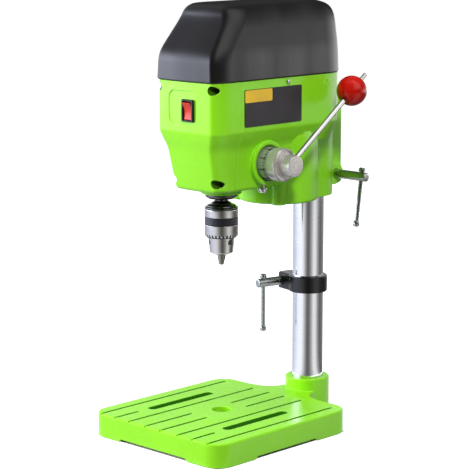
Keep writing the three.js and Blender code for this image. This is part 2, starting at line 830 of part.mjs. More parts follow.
function headCasting() {
  const { halfWidth, front, rear, wall, deck, seam, nose } = head;
  const envelope = headEnvelope();
  const behindSeam = block(
    [-halfWidth - overrun, halfWidth + overrun],
    [-seam, throat + rear + overrun],
    [-overrun, deck + overrun],
  );
  const bay = (radius, to) => bar({ radius, from: -overrun, to, at: [0, bayPlace], sides: facets.large });
  const shell = cut(
    join(envelope, motorBayOutside()),
    headHollow(),
    bay(bayInner, deckBottom),
    bay(bayInner + motorCover.ledge, motorCover.thickness),
  ).intersect(behindSeam);
  const deckOutline = levelOf(
    {
      halfWidth: halfWidth - wall / 2,
      front: -seam,
      rear: throat - column.radius - deckPlate.rearGap,
      corner: weld,
      bow: 0,
    },
    0,
  ).outline;
  const deckSolid = join(
    prism(new THREE.Shape(deckOutline), deckBottom, deckTop),
    bar({
      radius: deckPlate.lobe,
      from: deckTop - pulleyBearing.width - deckPlate.bearingLip,
      to: deckTop,
    }),
  );
  const posts = towers.map(({ x, z }) =>
    bar({
      axis: "y",
      radius: tower.radius,
      from: -seam,
      to: tower.depth - seam,
      at: [x, z],
      sides: facets.small,
    }),
  );
  const insides = join(
    bar({ radius: barrel.radius, from: nose, to: barrel.top, sides: facets.large }),
    feedBore(feedBoss.tunnel, -head.noseHalfWidth, head.noseHalfWidth),
    deckSolid,
    ...posts,
  ).intersect(envelope);
  const boredSeat = bar({
    radius: pulleyBearing.radius + gap,
    from: deckTop - pulleyBearing.width,
    to: deckTop + overrun,
  });
  const full = join(
    shell,
    insides,
    bar({ radius: barrel.radius, from: barrel.bottom, to: nose + head.floor, sides: facets.large }),
    feedBore(feedBoss.radius, head.noseHalfWidth - wall, feedBoss.out, facets.large),
    columnSleeve(),
    clampEars(),
  );
  return cut(
    full,
    bar({
      radius: column.radius + gap,
      from: -overrun,
      to: deck + overrun,
      at: [0, throat],
      sides: facets.large,
    }),
    block(
      [-sleeve.slit / 2, sleeve.slit / 2],
      [throat, throat + ear.reach + overrun],
      [-overrun, head.breakBottom - overrun],
    ),
    block(
      [-sleeve.slit / 2, sleeve.slit / 2],
      [throat + rear, throat + ear.reach + overrun],
      [-overrun, head.breakTop + overrun],
    ),
    bar({
      axis: "x",
      radius: headClamp.radius + gap,
      from: gap - headClamp.hold - overrun,
      to: ear.bossOut + overrun,
      at: [throat + headClamp.offset, headClamp.lift],
      sides: facets.small,
    }),
    bar({
      radius: quill.radius + gap,
      from: barrel.bottom - overrun,
      to: barrel.top + overrun,
      sides: facets.large,
    }),
    bar({
      radius: deckPlate.motorHole,
      from: deckBottom - overrun,
      to: deckTop + overrun,
      at: [0, motorPlace],
    }),
    boredSeat,
    bar({ radius: deckPlate.shaftHole, from: barrel.top + overrun, to: deckTop + overrun }),
    feedBore(pinion.bushRadius, -halfWidth, pinion.halfWidth + overrun, facets.large),
    feedBore(pinion.shaftRadius + gap, 0, feedBoss.out + overrun),
    feedBore(feedBoss.recess, feedBoss.floor, feedBoss.out + overrun, facets.large),
    ...towers.map(({ x, z }) =>
      bar({
        axis: "y",
        radius: shellScrew.shankRadius + gap,
        from: -seam - overrun,
        to: tower.depth - seam - overrun,
        at: [x, z],
        sides: facets.screw,
      }),
    ),
    ...coverScrewHoles(),
    glandHole(),
    lockScrewHole(),
  );
}

function coverScrewHoles() {
  return [
    bar({
      axis: "x",
      radius: coverScrew.shankRadius + gap,
      from: -head.halfWidth - overrun,
      to: head.halfWidth + overrun,
      at: [coverScrew.back, head.deck - coverScrew.drop],
      sides: facets.screw,
    }),
  ];
}

function lockScrewHole() {
  return bar({
    radius: lockScrew.shankRadius + gap,
    from: head.nose - overrun,
    to: head.nose + lockScrew.length + gap,
    at: [lockScrew.out, feedAxis.back],
    sides: facets.screw,
  });
}

function glandHole() {
  const edge = throat + head.rear;
  return bar({
    axis: "y",
    radius: gland.radius + gap,
    from: throat,
    to: edge + overrun,
    at: [gland.place, panelMiddle - gland.belowMiddle],
    sides: facets.small,
  });
}

// What is milled off in front of the switch's panel
function panelCutter() {
  const { left, right, below, above, corner, leftDepth, rightDepth } = panel;
  const [low, high] = [panelMiddle - below, panelMiddle + above];
  const quarter = Math.PI / 2;
  const shape = new THREE.Shape();
  shape.absarc(right - corner, low + corner, corner, -quarter, 0, false);
  shape.absarc(right - corner, high - corner, corner, 0, quarter, false);
  shape.absarc(-left + corner, high - corner, corner, quarter, 2 * quarter, false);
  shape.absarc(-left + corner, low + corner, corner, 2 * quarter, 3 * quarter, false);
  const face = head.front + head.bow + overrun;
  const plate = new THREE.ExtrudeGeometry(shape, {
    depth: face,
    bevelEnabled: false,
    curveSegments: facets.corner,
  });
  plate.rotateX(Math.PI / 2);
  const ahead = new THREE.Shape();
  ahead.moveTo(-left, -face);
  ahead.lineTo(right, -face);
  ahead.lineTo(right, -rightDepth);
  ahead.lineTo(-left, -leftDepth);
  return toSolid(plate).intersect(prism(ahead, low, high));
}

function frontShell() {
  const { halfWidth, front, wall, deck, seam, nose } = head;
  const envelope = headEnvelope();
  const edge = -seam - gap;
  const beforeSeam = block(
    [-halfWidth - overrun, halfWidth + overrun],
    [-front - head.bow - overrun, edge],
    [nose - overrun, deck + overrun],
  );
  const seats = towers.map(({ x, z }) =>
    bar({
      axis: "y",
      radius: tower.radius,
      from: -front - head.bow - overrun,
      to: edge,
      at: [x, z],
      sides: facets.small,
    }),
  );
  const shell = join(cut(envelope, headHollow()), join(...seats).intersect(envelope)).intersect(beforeSeam);
  const seatAt = -seam - tower.seat;
  const { place, bodyWidth, bodyHeight } = switchPlate;
  return cut(
    shell,
    panelCutter(),
    bar({ radius: barrel.radius + gap, from: 0, to: nose + head.floor + overrun, sides: facets.large }),
    ...towers.flatMap(({ x, z }) => [
      bar({
        axis: "y",
        radius: tower.recess,
        from: -front - head.bow - overrun,
        to: seatAt,
        at: [x, z],
        sides: facets.small,
      }),
      bar({
        axis: "y",
        radius: shellScrew.shankRadius + gap,
        from: seatAt - overrun,
        to: edge + overrun,
        at: [x, z],
        sides: facets.screw,
      }),
    ]),
    block(
      [place - bodyWidth / 2 - gap, place + bodyWidth / 2 + gap],
      [-front - head.bow - overrun, -front + wall + overrun],
      [switchLift - bodyHeight / 2 - gap, switchLift + bodyHeight / 2 + gap],
    ),
  );
}

// Top cover
function coverLevels(inset, bottom) {
  const { overhang, height, shoulder, ridge, crown } = cover;
  const stages = [
    [bottom, 0, 0, 0],
    [shoulder, coverDraft.shoulder, coverSlope.shoulder, coverRear.shoulder],
    [ridge, coverDraft.ridge, coverSlope.ridge, coverRear.ridge],
    [crown, coverDraft.crown, coverSlope.crown, coverRear.crown],
    [height, coverDraft.top, coverSlope.top, coverRear.top],
  ];
  return stages.map(([z, draft, slope, back]) => {
    const halfWidth = head.halfWidth + overhang - draft - inset;
    return levelOf(
      {
        halfWidth,
        front: -head.front - overhang + slope + inset,
        rear: throat + head.rear + overhang / 2 - back - inset,
        corner: head.corner + draft / 2 - inset / 2,
        cornerLength: head.cornerLength + draft / 2 - inset / 2,
        rearCorner: halfWidth,
        bow: head.bow,
      },
      z === bottom || inset === 0 ? z : z - inset,
    );
  });
}

function topCover() {
  const { wall, lipDepth, lipWall } = cover;
  const base = head.deck + gap;
  const raise = (levels) => levels.map(({ outline, z }) => ({ outline, z: z + base }));
  const outside = loft(raise(coverLevels(0, 0)));
  const inside = loft(raise(coverLevels(wall, -overrun)));
  const lipSizes = (inset) => ({
    halfWidth: head.halfWidth - head.wall - gap - inset,
    front: -head.front + head.wall + gap + inset,
    rear: throat + head.rear - head.wall - gap - inset,
    corner: head.corner,
    cornerLength: head.cornerLength,
    rearCorner: head.halfWidth - head.wall - gap - inset,
    bow: head.bow,
  });
  const [lipBottom, lipTop] = [base - lipDepth + gap, base + wall];
  const flange = cut(
    loft([levelOf(lipSizes(-wall), base), levelOf(lipSizes(-wall), lipTop)]),
    loft([levelOf(lipSizes(lipWall), base - overrun), levelOf(lipSizes(lipWall), lipTop + overrun)]),
  );
  const lip = cut(
    loft([levelOf(lipSizes(0), lipBottom), levelOf(lipSizes(0), lipTop)]),
    loft([levelOf(lipSizes(lipWall), lipBottom - overrun), levelOf(lipSizes(lipWall), lipTop + overrun)]),
  );
  const towerRoom = towers.map(({ x, z }) =>
    block(
      [x - tower.radius - gap, x + tower.radius + gap],
      [-head.front - overrun, tower.depth - head.seam + gap],
      [lipBottom - overrun, Math.min(z + tower.radius + gap, base)],
    ),
  );
  return cut(join(cut(outside, inside), flange, cut(lip, ...towerRoom)), ...coverScrewHoles());
}

// Feed: pinion, dial, hub and handle
function toothedOutline({ teeth, pitchRadius, toothTop, toothRoot }) {
  const pitchAngle = (2 * Math.PI) / teeth;
  const shape = new THREE.Shape();
  for (let tooth = 0; tooth < teeth; tooth++) {
    const middle = tooth * pitchAngle;
    const corners = [
      [pitchRadius - toothRoot, -toothShares.root],
      [pitchRadius, -toothShares.pitch],
      [pitchRadius + toothTop, -toothShares.tip],
      [pitchRadius + toothTop, toothShares.tip],
      [pitchRadius, toothShares.pitch],
      [pitchRadius - toothRoot, toothShares.root],
    ];
    corners.forEach(([radius, share], i) => {
      const angle = middle + (share * pitchAngle) / 2;
      const point = [radius * Math.cos(angle), radius * Math.sin(angle)];
      if (tooth === 0 && i === 0) shape.moveTo(...point);
      else shape.lineTo(...point);
    });
  }
  return shape;
}

const rackLine = feedAxis.back - pinion.pitchRadius;
const hubFrom = dial.from;
const hubShoulder = hubFrom + dial.width + gap;
const hubFace = hubShoulder + hub.flangeWidth;
const neckEnd = hubFace + hub.neckWidth;
const capFrom = neckEnd + gap;
const shaftEnd = capFrom + hubCap.width - hubCap.wall;
const handlePlace = capFrom + hubCap.rodPlace;
const cupFace = head.halfWidth - head.breakStep + gap;

function pinionShaft() {
  const { halfWidth, shaftRadius } = pinion;
  const options = { depth: 2 * halfWidth, bevelEnabled: false };
  const geometry = new THREE.ExtrudeGeometry(toothedOutline(pinion), options);
  geometry.translate(0, 0, -halfWidth);
  const gear = toSolid(shift(pointAlong(geometry, "x"), "x", 0, [feedAxis.back, feedAxis.lift]));
  const shaft = revolve(
    [
      [0, -cupFace - springCup.depth + springCup.wall + gap],
      [shaftRadius, -cupFace - springCup.depth + springCup.wall + gap],
      [shaftRadius, shaftEnd - gap],
      [0, shaftEnd - gap],
    ],
    { axis: "x", at: [feedAxis.back, feedAxis.lift], sides: facets.part },
  );
  return join(gear, shaft);
}

function aboutFeed(profile, sides = facets.large) {
  return revolve(profile, { axis: "x", at: [feedAxis.back, feedAxis.lift], sides });
}

function depthDial() {
  const { radius, from, width, edge } = dial;
  const bore = hub.coreRadius + gap;
  return aboutFeed([
    [bore, from],
    [radius - edge, from],
    [radius, from + edge],
    [radius, from + width],
    [bore, from + width],
  ]);
}

function feedHub() {
  const { coreRadius, neckRadius, edge } = hub;
  const bore = pinion.shaftRadius + gap;
  return aboutFeed([
    [bore, hubFrom],
    [coreRadius, hubFrom],
    [coreRadius, hubShoulder],
    [dial.radius, hubShoulder],
    [dial.radius, hubFace - edge],
    [dial.radius - edge, hubFace],
    [neckRadius, hubFace],
    [neckRadius, neckEnd],
    [bore, neckEnd],
  ]);
}

function handleDirection() {
  const angle = THREE.MathUtils.degToRad(handle.angle);
  return new THREE.Vector3(0, Math.cos(angle), Math.sin(angle));
}

// A solid of revolution along the handle's direction, from the feed axis
function alongHandle(profile, sides = facets.small) {
  const points = profile.map(([radius, place]) => new THREE.Vector2(radius, place));
  if (THREE.ShapeUtils.area(points) < 0) points.reverse();
  points.push(points[0].clone());
  const geometry = new THREE.LatheGeometry(points, sides);
  const turn = new THREE.Quaternion().setFromUnitVectors(new THREE.Vector3(0, 1, 0), handleDirection());
  geometry.applyQuaternion(turn);
  return toSolid(geometry.translate(handlePlace, feedAxis.back, feedAxis.lift));
}

function hubCapSolid() {
  const { radius, width, edge, wall } = hubCap;
  const bore = pinion.shaftRadius + gap;
  const cap = aboutFeed(
    [
      [bore, capFrom],
      [radius - edge / 2, capFrom],
      [radius, capFrom + edge / 2],
      [radius, capFrom + width - edge],
      [radius - edge, capFrom + width],
      [0, capFrom + width],
      [0, capFrom + width - wall],
      [bore, capFrom + width - wall],
    ],
    facets.part,
  );
  const hole = alongHandle([
    [0, bore - overrun],
    [handle.radius + gap, bore - overrun],
    [handle.radius + gap, radius + overrun],
    [0, radius + overrun],
  ]);
  return cut(cap, hole);
}

function handleRod() {
  const start = pinion.shaftRadius + gap;
  const { radius, length, threadRadius, threadLength, edge } = handle;
  const tip = length + threadLength;
  return alongHandle([
    [0, start],
    [radius, start],
    [radius, length - edge],
    [radius - edge, length],
    [threadRadius, length],
    [threadRadius, tip - edge],
    [threadRadius - edge, tip],
    [0, tip],
  ]);
}

function handleKnob() {
  const { radius, flat, bore } = knob;
  const centre = handle.length + gap + radius - flat;
  const steps = facets.part / 2;
  const first = Math.acos((radius - flat) / radius);
  const last = Math.PI - Math.asin(bore / radius);
  const arc = Array.from({ length: steps + 1 }, (_, i) => {
    const angle = first + ((last - first) * i) / steps;
    return [radius * Math.sin(angle), centre - radius * Math.cos(angle)];
  });
  return alongHandle([[bore, centre - radius + flat], ...arc], facets.part);
}

function springCupSolid() {
  const { radius, depth, wall, edge } = springCup;
  const bore = pinion.shaftRadius + gap;
  const plug = pinion.bushRadius - gap;
  return aboutFeed([
    [bore, -springCup.plugEnd],
    [plug, -springCup.plugEnd],
    [plug, -cupFace],
    [radius, -cupFace],
    [radius, -cupFace - depth + edge],
    [radius - edge, -cupFace - depth],
    [0, -cupFace - depth],
    [0, -cupFace - depth + wall],
    [radius - wall, -cupFace - depth + wall],
    [radius - wall, -cupFace - wall],
    [bore, -cupFace - wall],
  ]);
}

// A flat spiral of spring strip round the shaft
function returnSpring() {
  const { turns, thickness, width, inner, outer, steps } = spiral;
  const count = turns * steps;
  const edgeAt = (i, offset) => {
    const share = i / count;
    const radius = inner + (outer - inner - thickness) * share + offset;
    const angle = 2 * Math.PI * turns * share;
    return [radius * Math.cos(angle), radius * Math.sin(angle)];
  };
  const shape = new THREE.Shape();
  shape.moveTo(...edgeAt(0, 0));
  for (let i = 0; i <= count; i++) shape.lineTo(...edgeAt(i, thickness));
  for (let i = count; i > 0; i--) shape.lineTo(...edgeAt(i, 0));
  const geometry = new THREE.ExtrudeGeometry(shape, { depth: width, bevelEnabled: false });
  const from = -cupFace - springCup.depth + springCup.wall + gap;
  return toSolid(shift(pointAlong(geometry, "x"), "x", from, [feedAxis.back, feedAxis.lift]));
}

// Quill, spindle and their bearings
function quillSolid() {
  const { radius, bore, bottom, top, nose, noseRound, mouth } = quill;
  const tube = revolve(
    [
      [mouth, bottom],
      [radius - noseRound, bottom],
      [radius, bottom + noseRound / 2],
      [radius, top],
      [bore, top],
      [bore, bottom + nose],
      [mouth, bottom + nose],
    ],
    { sides: facets.large },
  );
  const pitch = (2 * Math.PI * pinion.pitchRadius) / pinion.teeth;
  const teeth = Math.ceil(feedTravel / pitch) + 2 * rack.spareTeeth;
  const [deep, shallow] = [rackLine - pinion.toothRoot, rackLine + pinion.toothTop];
  const gaps = Array.from({ length: teeth }, (_, i) => {
    const centre = feedAxis.lift + (i - rack.spareTeeth) * pitch + pitch / 2;
    const shape = new THREE.Shape();
    const at = (share) => (pitch * share) / 2;
    const slack = gap / 2;
    shape.moveTo(deep - slack, centre - at(toothShares.tip) - slack);
    shape.lineTo(shallow + overrun, centre - at(1 - toothShares.tip) - slack);
    shape.lineTo(shallow + overrun, centre + at(1 - toothShares.tip) + slack);
    shape.lineTo(deep - slack, centre + at(toothShares.tip) + slack);
    const geometry = new THREE.ExtrudeGeometry(shape, { depth: 2 * rack.halfWidth, bevelEnabled: false });
    geometry.translate(0, 0, -rack.halfWidth);
    geometry.rotateX(Math.PI / 2).rotateZ(Math.PI / 2);
    return toSolid(geometry);
  });
  const rackFoot = feedAxis.lift - pitch * rack.spareTeeth - pitch / 2;
  const flat = block(
    [-rack.halfWidth, rack.halfWidth],
    [shallow, radius + overrun],
    [rackFoot, top + overrun],
  );
  return cut(tube, flat, ...gaps);
}

function ballBearing(radius, bore, width, from) {
  const { race, groove } = bearing;
  const profile = [
    [bore, from],
    [bore + race, from],
    [bore + race, from + groove],
    [radius - race, from + groove],
    [radius - race, from],
    [radius, from],
    [radius, from + width],
    [bore, from + width],
  ];
  return revolve(profile);
}

function splineShape(tip, root, count) {
  const shape = new THREE.Shape();
  const pitch = (2 * Math.PI) / count;
  for (let i = 0; i < count; i++) {
    const corners = [
      [root, -splineShare / 2],
      [tip, -splineShare / 2],
      [tip, splineShare / 2],
      [root, splineShare / 2],
    ];
    corners.forEach(([radius, share], corner) => {
      const angle = (i + share) * pitch;
      const point = [radius * Math.cos(angle), radius * Math.sin(angle)];
      if (i === 0 && corner === 0) shape.moveTo(...point);
      else shape.lineTo(...point);
    });
  }
  return shape;
}

const pulleyBottom = deckTop + pulley.lift;
const pulleyTop = pulleyBottom + pulley.steps * pulley.stepHeight;
const quillBearingLow = quill.bottom + quill.nose + gap;
const quillBearingHigh = quill.top - bearing.width - gap;

function spindleSolid() {
  const { journal, neck, splineTip, splineRoot, splines, aboveHub } = spindle;
  const top = pulleyTop + pulley.hubHeight + aboveHub;
  const noseTop = chuckLift + gap;
  const body = revolve([
    [0, noseTop - spindleNose.depth],
    [spindleNose.tipRadius - gap, noseTop - spindleNose.depth],
    [spindleNose.radius - gap, noseTop],
    [neck, noseTop],
    [neck, quillBearingLow - gap],
    [journal, quillBearingLow - gap],
    [journal, quill.top],
    [0, quill.top],
  ]);
  return join(body, prism(splineShape(splineTip, splineRoot, splines), quill.top - overrun, top));
}

// Drive: motor, stepped pulleys and belt
// The spindle's pulley narrows upward, and the motor's widens to match it
function spindleStep(i) {
  return pulley.spindleLargest - i * pulley.stepRadius;
}

function motorStep(i) {
  return pulley.motorLargest - (pulley.steps - 1 - i) * pulley.stepRadius;
}

function steppedPulley(radiusAt, bore) {
  const { steps, stepHeight, slope, hubRadius, hubHeight } = pulley;
  const profile = [[bore, pulleyBottom]];
  for (let i = 0; i < steps; i++) {
    const low = pulleyBottom + i * stepHeight;
    const radius = radiusAt(i);
    const waist = radius - belt.thickness / 2;
    const high = low + stepHeight;
    profile.push([radius, low], [waist, low + slope], [waist, high - slope], [radius, high]);
  }
  profile.push([hubRadius, pulleyTop], [hubRadius, pulleyTop + hubHeight], [bore, pulleyTop + hubHeight]);
  return profile;
}

function spindlePulley() {
  const top = pulleyTop + pulley.hubHeight;
  const low = deckTop - pulleyBearing.width - gap;
  const body = join(
    revolve(steppedPulley(spindleStep, 0), { sides: facets.part }),
    bar({ radius: pulley.sleeveRadius, from: low, to: pulleyBottom + overrun }),
  );
  const hole = splineShape(spindle.splineTip + gap, spindle.splineRoot + gap, spindle.splines);
  return cut(body, prism(hole, low - overrun, top + overrun));
}

function motorPulley() {
  const profile = steppedPulley(motorStep, motor.shaftRadius + gap);
  return revolve(profile, { at: [0, motorPlace], sides: facets.part });
}

function driveBelt() {
  const { thickness, height, step } = belt;
  const [front, back] = [spindleStep(step), motorStep(step)].map((radius) => radius - thickness / 2 + gap);
  const outline = (extra, path) => {
    const lean = Math.asin((front - back) / motorPlace);
    path.absarc(0, motorPlace, back + extra, lean, Math.PI - lean, false);
    path.absarc(0, 0, front + extra, Math.PI - lean, 2 * Math.PI + lean, false);
    return path;
  };
  const shape = outline(thickness, new THREE.Shape());
  shape.holes.push(outline(0, new THREE.Path()));
  const low = pulleyBottom + step * pulley.stepHeight + (pulley.stepHeight - height) / 2;
  return prism(shape, low, low + height, facets.small);
}

function motorBody() {
  const { bottom, topGap, edge, shaftRadius, noseRadius, noseHeight } = motor;
  const radius = motorRadius;
  const top = deckBottom - topGap;
  return revolve(
    [
      [shaftRadius + gap, bottom],
      [radius - edge, bottom],
      [radius, bottom + edge],
      [radius, top - edge],
      [radius - edge, top],
      [noseRadius, top],
      [noseRadius, top + noseHeight],
      [shaftRadius + gap, top + noseHeight],
    ],
    { at: [0, motorPlace], sides: facets.part },
  );
}

function motorShaft() {
  const { shaftRadius, bottom, shaftPast, edge } = motor;
  const shaftTop = pulleyTop + shaftPast;
  return revolve(
    [
      [0, bottom - edge],
      [shaftRadius, bottom - edge],
      [shaftRadius, shaftTop],
      [0, shaftTop],
    ],
    { at: [0, motorPlace], sides: facets.small },
  );
}

function motorCoverSolid() {
  const { thickness, ventHalf, vents, edge, ledge } = motorCover;
  const ventReach = motorRadius * ventShares.reach;
  const ventPitch = motorRadius * ventShares.pitch;
  const radius = bayInner + ledge - gap;
  const disc = revolve(
    [
      [0, 0],
      [radius - edge, 0],
      [radius, edge],
      [radius, thickness - gap],
      [0, thickness - gap],
    ],
    { at: [0, bayPlace], sides: facets.large },
  );
  const slots = Array.from({ length: vents }, (_, i) => {
    const y = motorPlace + (i - (vents - 1) / 2) * ventPitch;
    return block([-ventReach, ventReach], [y - ventHalf, y + ventHalf], [-overrun, thickness + overrun]);
  });
  const round = column.radius + sleeve.wall + gap;
  const sleeveRoom = join(
    bar({ radius: round, from: -overrun, to: thickness + overrun, at: [0, throat], sides: facets.large }),
    block([-round, round], [throat - round, throat], [-overrun, thickness + overrun]),
  );
  return cut(disc, sleeveRoom, ...slots);
}

// Rocker switch
function switchBody() {
  const { width, height, thickness, bodyWidth, bodyHeight, bodyDepth } = switchPlate;
  const about = (wide, tall, from, to) => {
    const [x, z] = [switchPlate.place, switchLift];
    return block(
      [x - wide / 2, x + wide / 2],
      [switchFace + from, switchFace + to],
      [z - tall / 2, z + tall / 2],
    );
  };
  const wellWidth = rocker.width + rocker.slack;
  const wellHeight = rocker.height + 2 * rocker.slack;
  return cut(
    join(about(width, height, -thickness, 0), about(bodyWidth, bodyHeight, -overrun, bodyDepth)),
    about(wellWidth, wellHeight, -thickness - overrun, rocker.well),
  );
}

function switchRocker() {
  const { width, height, valley, rise, back, taper } = rocker;
  const half = height / 2;
  const shape = new THREE.Shape();
  shape.moveTo(-half, -rise);
  shape.quadraticCurveTo(-half / 2, -valley, 0, -valley);
  shape.quadraticCurveTo(half / 2, -valley, half, -rise);
  shape.lineTo(half - taper, back);
  shape.lineTo(-half + taper, back);
  const geometry = new THREE.ExtrudeGeometry(shape, {
    depth: width,
    bevelEnabled: false,
    curveSegments: facets.corner,
  });
  geometry.translate(0, 0, -width / 2);
  return toSolid(geometry.rotateY(Math.PI / 2));
}

// Keyed chuck, in the head's heights, each stage below the one before
const jawSlant = THREE.MathUtils.degToRad(jaw.slant);
const chuckBodyTop = chuckLift - chuckCap.height;
const chuckShoulder = chuckBodyTop - chuckBody.rimHeight;
const chuckTip = chuckShoulder - chuckBody.length;
const sleeveTop = chuckShoulder - gap;
const sleeveBottom = sleeveTop - chuckSleeve.length;
const bandBottom = sleeveTop - chuckBand.height;
const nutBottom = sleeveBottom + chuckNut.lift;
const nutTop = nutBottom + chuckNut.height;
const jawTip = chuckTip - jaw.out;

// A round bore or bar along a jaw's slanted line, for the jaw at the given turn
function alongJaw(radius, from, to, turn, sides = facets.small) {
  const geometry = new THREE.CylinderGeometry(radius, radius, to - from, sides);
  geometry.rotateX(Math.PI / 2);
  geometry.translate(0, 0, (from + to) / 2);
  geometry.rotateY(jawSlant);
  geometry.translate(jaw.tipRadius - jaw.radius / Math.cos(jawSlant), 0, jawTip);
  return toSolid(geometry.rotateZ(turn));
}

function jawTurn(i) {
  return (2 * Math.PI * i + Math.PI) / jaw.count;
}

function chuckJaw(i) {
  const half = Math.PI / jaw.count;
  const reach = chuckBody.rimRadius * 2;
  const wedge = new THREE.Shape();
  const apex = jaw.slack / Math.sin(half);
  wedge.moveTo(apex, 0);
  wedge.lineTo(apex + reach * Math.cos(half), -reach * Math.sin(half));
  wedge.lineTo(apex + reach * Math.cos(half), reach * Math.sin(half));
  const geometry = new THREE.ExtrudeGeometry(wedge, { depth: jaw.length, bevelEnabled: false });
  geometry.translate(0, 0, jawTip).rotateZ(jawTurn(i));
  return alongJaw(jaw.radius, -jaw.radius, jaw.length, jawTurn(i)).intersect(toSolid(geometry));
}

function chuckBodySolid() {
  const { radius, tipRadius, rimRadius, bore, boreDepth, edge } = chuckBody;
  const nose = chuckLift - spindleNose.depth;
  const body = revolve(
    [
      [bore, chuckTip],
      [tipRadius - edge, chuckTip],
      [tipRadius, chuckTip + edge],
      [radius, sleeveBottom],
      [radius, nutBottom - gap],
      [chuckNut.inner - gap, nutBottom - gap],
      [chuckNut.inner - gap, nutTop + gap],
      [radius, nutTop + gap],
      [radius, chuckShoulder],
      [rimRadius, chuckShoulder],
      [rimRadius, chuckBodyTop],
      [spindleNose.radius + gap, chuckBodyTop],
      [spindleNose.tipRadius, nose],
      [0, nose],
      [0, chuckTip + boreDepth],
      [bore, chuckTip + boreDepth],
    ],
    { sides: facets.large },
  );
  const jaws = Array.from({ length: jaw.count }, (_, i) =>
    alongJaw(jaw.radius + gap, -jaw.length, jaw.length + jaw.stroke + overrun, jawTurn(i)),
  );
  const keys = jaws.map((_, i) => {
    const length = keyHole.depth + overrun;
    const geometry = new THREE.CylinderGeometry(keyHole.radius, keyHole.radius, length, facets.small);
    geometry.rotateZ(Math.PI / 2).translate(radius + overrun - length / 2, 0, chuckTip + keyHole.lift);
    return toSolid(geometry.rotateZ(jawTurn(i) + Math.PI / jaw.count));
  });
  return cut(body, ...jaws, ...keys);
}

function chuckCapSolid() {
  const { neckRadius, topRadius, bellRadius, bellHeight, edge } = chuckCap;
  const low = chuckBodyTop + gap;
  return revolve(
    [
      [neckRadius, low],
      [chuckBody.rimRadius, low],
      [chuckBody.rimRadius, low + edge],
      [bellRadius, low + bellHeight],
      [topRadius, chuckLift],
      [neckRadius, chuckLift],
    ],
    { sides: facets.large },
  );
}

function chuckSleeveSolid() {
  const { radius, wall, teeth, toothHeight, toothDepth } = chuckSleeve;
  const bottom = sleeveBottom;
  const inner = chuckBody.radius + gap;
  const bandSeat = chuckBand.radius - chuckBand.depth - chuckBand.depth - gap;
  const sleeveBody = revolve(
    [
      [inner, bottom],
      [radius - toothDepth, bottom],
      [radius, bottom + toothHeight],
      [radius, bandBottom - gap],
      [bandSeat, bandBottom - gap],
      [bandSeat, sleeveTop],
      [radius - wall, sleeveTop],
      [radius - wall, nutBottom - gap],
      [inner, nutBottom - gap],
    ],
    { sides: facets.large },
  );
  const pitch = (2 * Math.PI) / teeth;
  const half = (radius * pitch * toothShare) / 2;
  const notches = Array.from({ length: teeth }, (_, i) => {
    const shape = new THREE.Shape();
    shape.moveTo(-half, bottom - overrun);
    shape.lineTo(half, bottom - overrun);
    shape.lineTo(0, bottom + toothHeight + overrun / 2);
    const options = { depth: toothDepth + overrun, bevelEnabled: false };
    const geometry = new THREE.ExtrudeGeometry(shape, options);
    geometry.rotateX(Math.PI / 2).translate(0, radius + overrun, 0);
    return toSolid(geometry.rotateZ(i * pitch));
  });
  return cut(sleeveBody, ...notches);
}

function chuckBandSolid() {
  const { radius, depth } = chuckBand;
  return revolve(
    [
      [radius - depth - depth, bandBottom],
      [radius, bandBottom],
      [radius, sleeveTop],
      [radius - depth - depth, sleeveTop],
    ],
    { sides: facets.large },
  );
}

function chuckNutSolid() {
  const outer = chuckSleeve.radius - chuckSleeve.wall - gap;
  const ring = revolve(
    [
      [chuckNut.inner, nutBottom],
      [outer, nutBottom],
      [outer, nutTop],
      [chuckNut.inner, nutTop],
    ],
    { sides: facets.large },
  );
  // The cone clears the jaws' outer lines, and its flats stand outside the circle
  const clear = (z) => {
    const edge = jaw.tipRadius + Math.tan(jawSlant) * (z - jawTip);
    return (edge + gap) / Math.cos(Math.PI / facets.large);
  };
  const [from, to] = [nutBottom - overrun, nutTop + overrun];
  return cut(ring, bar({ radius: clear(from), endRadius: clear(to), from, to, sides: facets.large }));
}

function cableGland() {
  const { radius, bore, tip, flange, inside } = gland;
  const edge = Math.sqrt(head.halfWidth ** 2 - gland.place ** 2) - head.halfWidth;
  const face = throat + head.rear + edge;
  return revolve(
    [
      [bore, face - inside],
      [radius, face - inside],
      [radius, face + flange],
      [bore, face + tip],
    ],
    { axis: "y", at: [gland.place, panelMiddle - gland.belowMiddle], sides: facets.small },
  );
}

// Assembly
function addTable(parent) {
  addPiece(parent, "base_casting", tableCasting(), finishes.paint);
  addPiece(parent, "column", columnTube(), finishes.chrome);
  addPiece(parent, "column_grub_screw", columnGrubScrew(), finishes.darkSteel);
}

function addCollar(parent) {
  const group = addGroup(parent, 0, throat, collar.bottom);
  group.rotation.z = THREE.MathUtils.degToRad(collar.turn);
  addPiece(group, "stop_collar", stopCollar(), finishes.blackPaint);
  const screw = addGroup(group, -collarClamp.offset, 0, collar.height / 2);
  screw.rotation.z = Math.PI;
  addPiece(screw, "stop_collar_screw", clampScrew(collarClamp), finishes.steel);
  const hanging = addGroup(screw, 0, collarClamp.barPlace, 0);
  addPiece(hanging, "stop_collar_bar", slidingBar(collarClamp.radius), finishes.steel);
}

function addHeadClamp(parent) {
  const group = addGroup(parent, 0, throat + headClamp.offset, headClamp.lift);
  group.rotation.set(THREE.MathUtils.degToRad(-headClamp.lean), 0, -Math.PI / 2, "XYZ");
  addPiece(group, "head_clamp_screw", clampScrew(headClamp), finishes.steel);
  const hanging = addGroup(group, 0, headClamp.barPlace, 0);
  addPiece(hanging, "head_clamp_bar", slidingBar(headClamp.radius), finishes.steel);
}

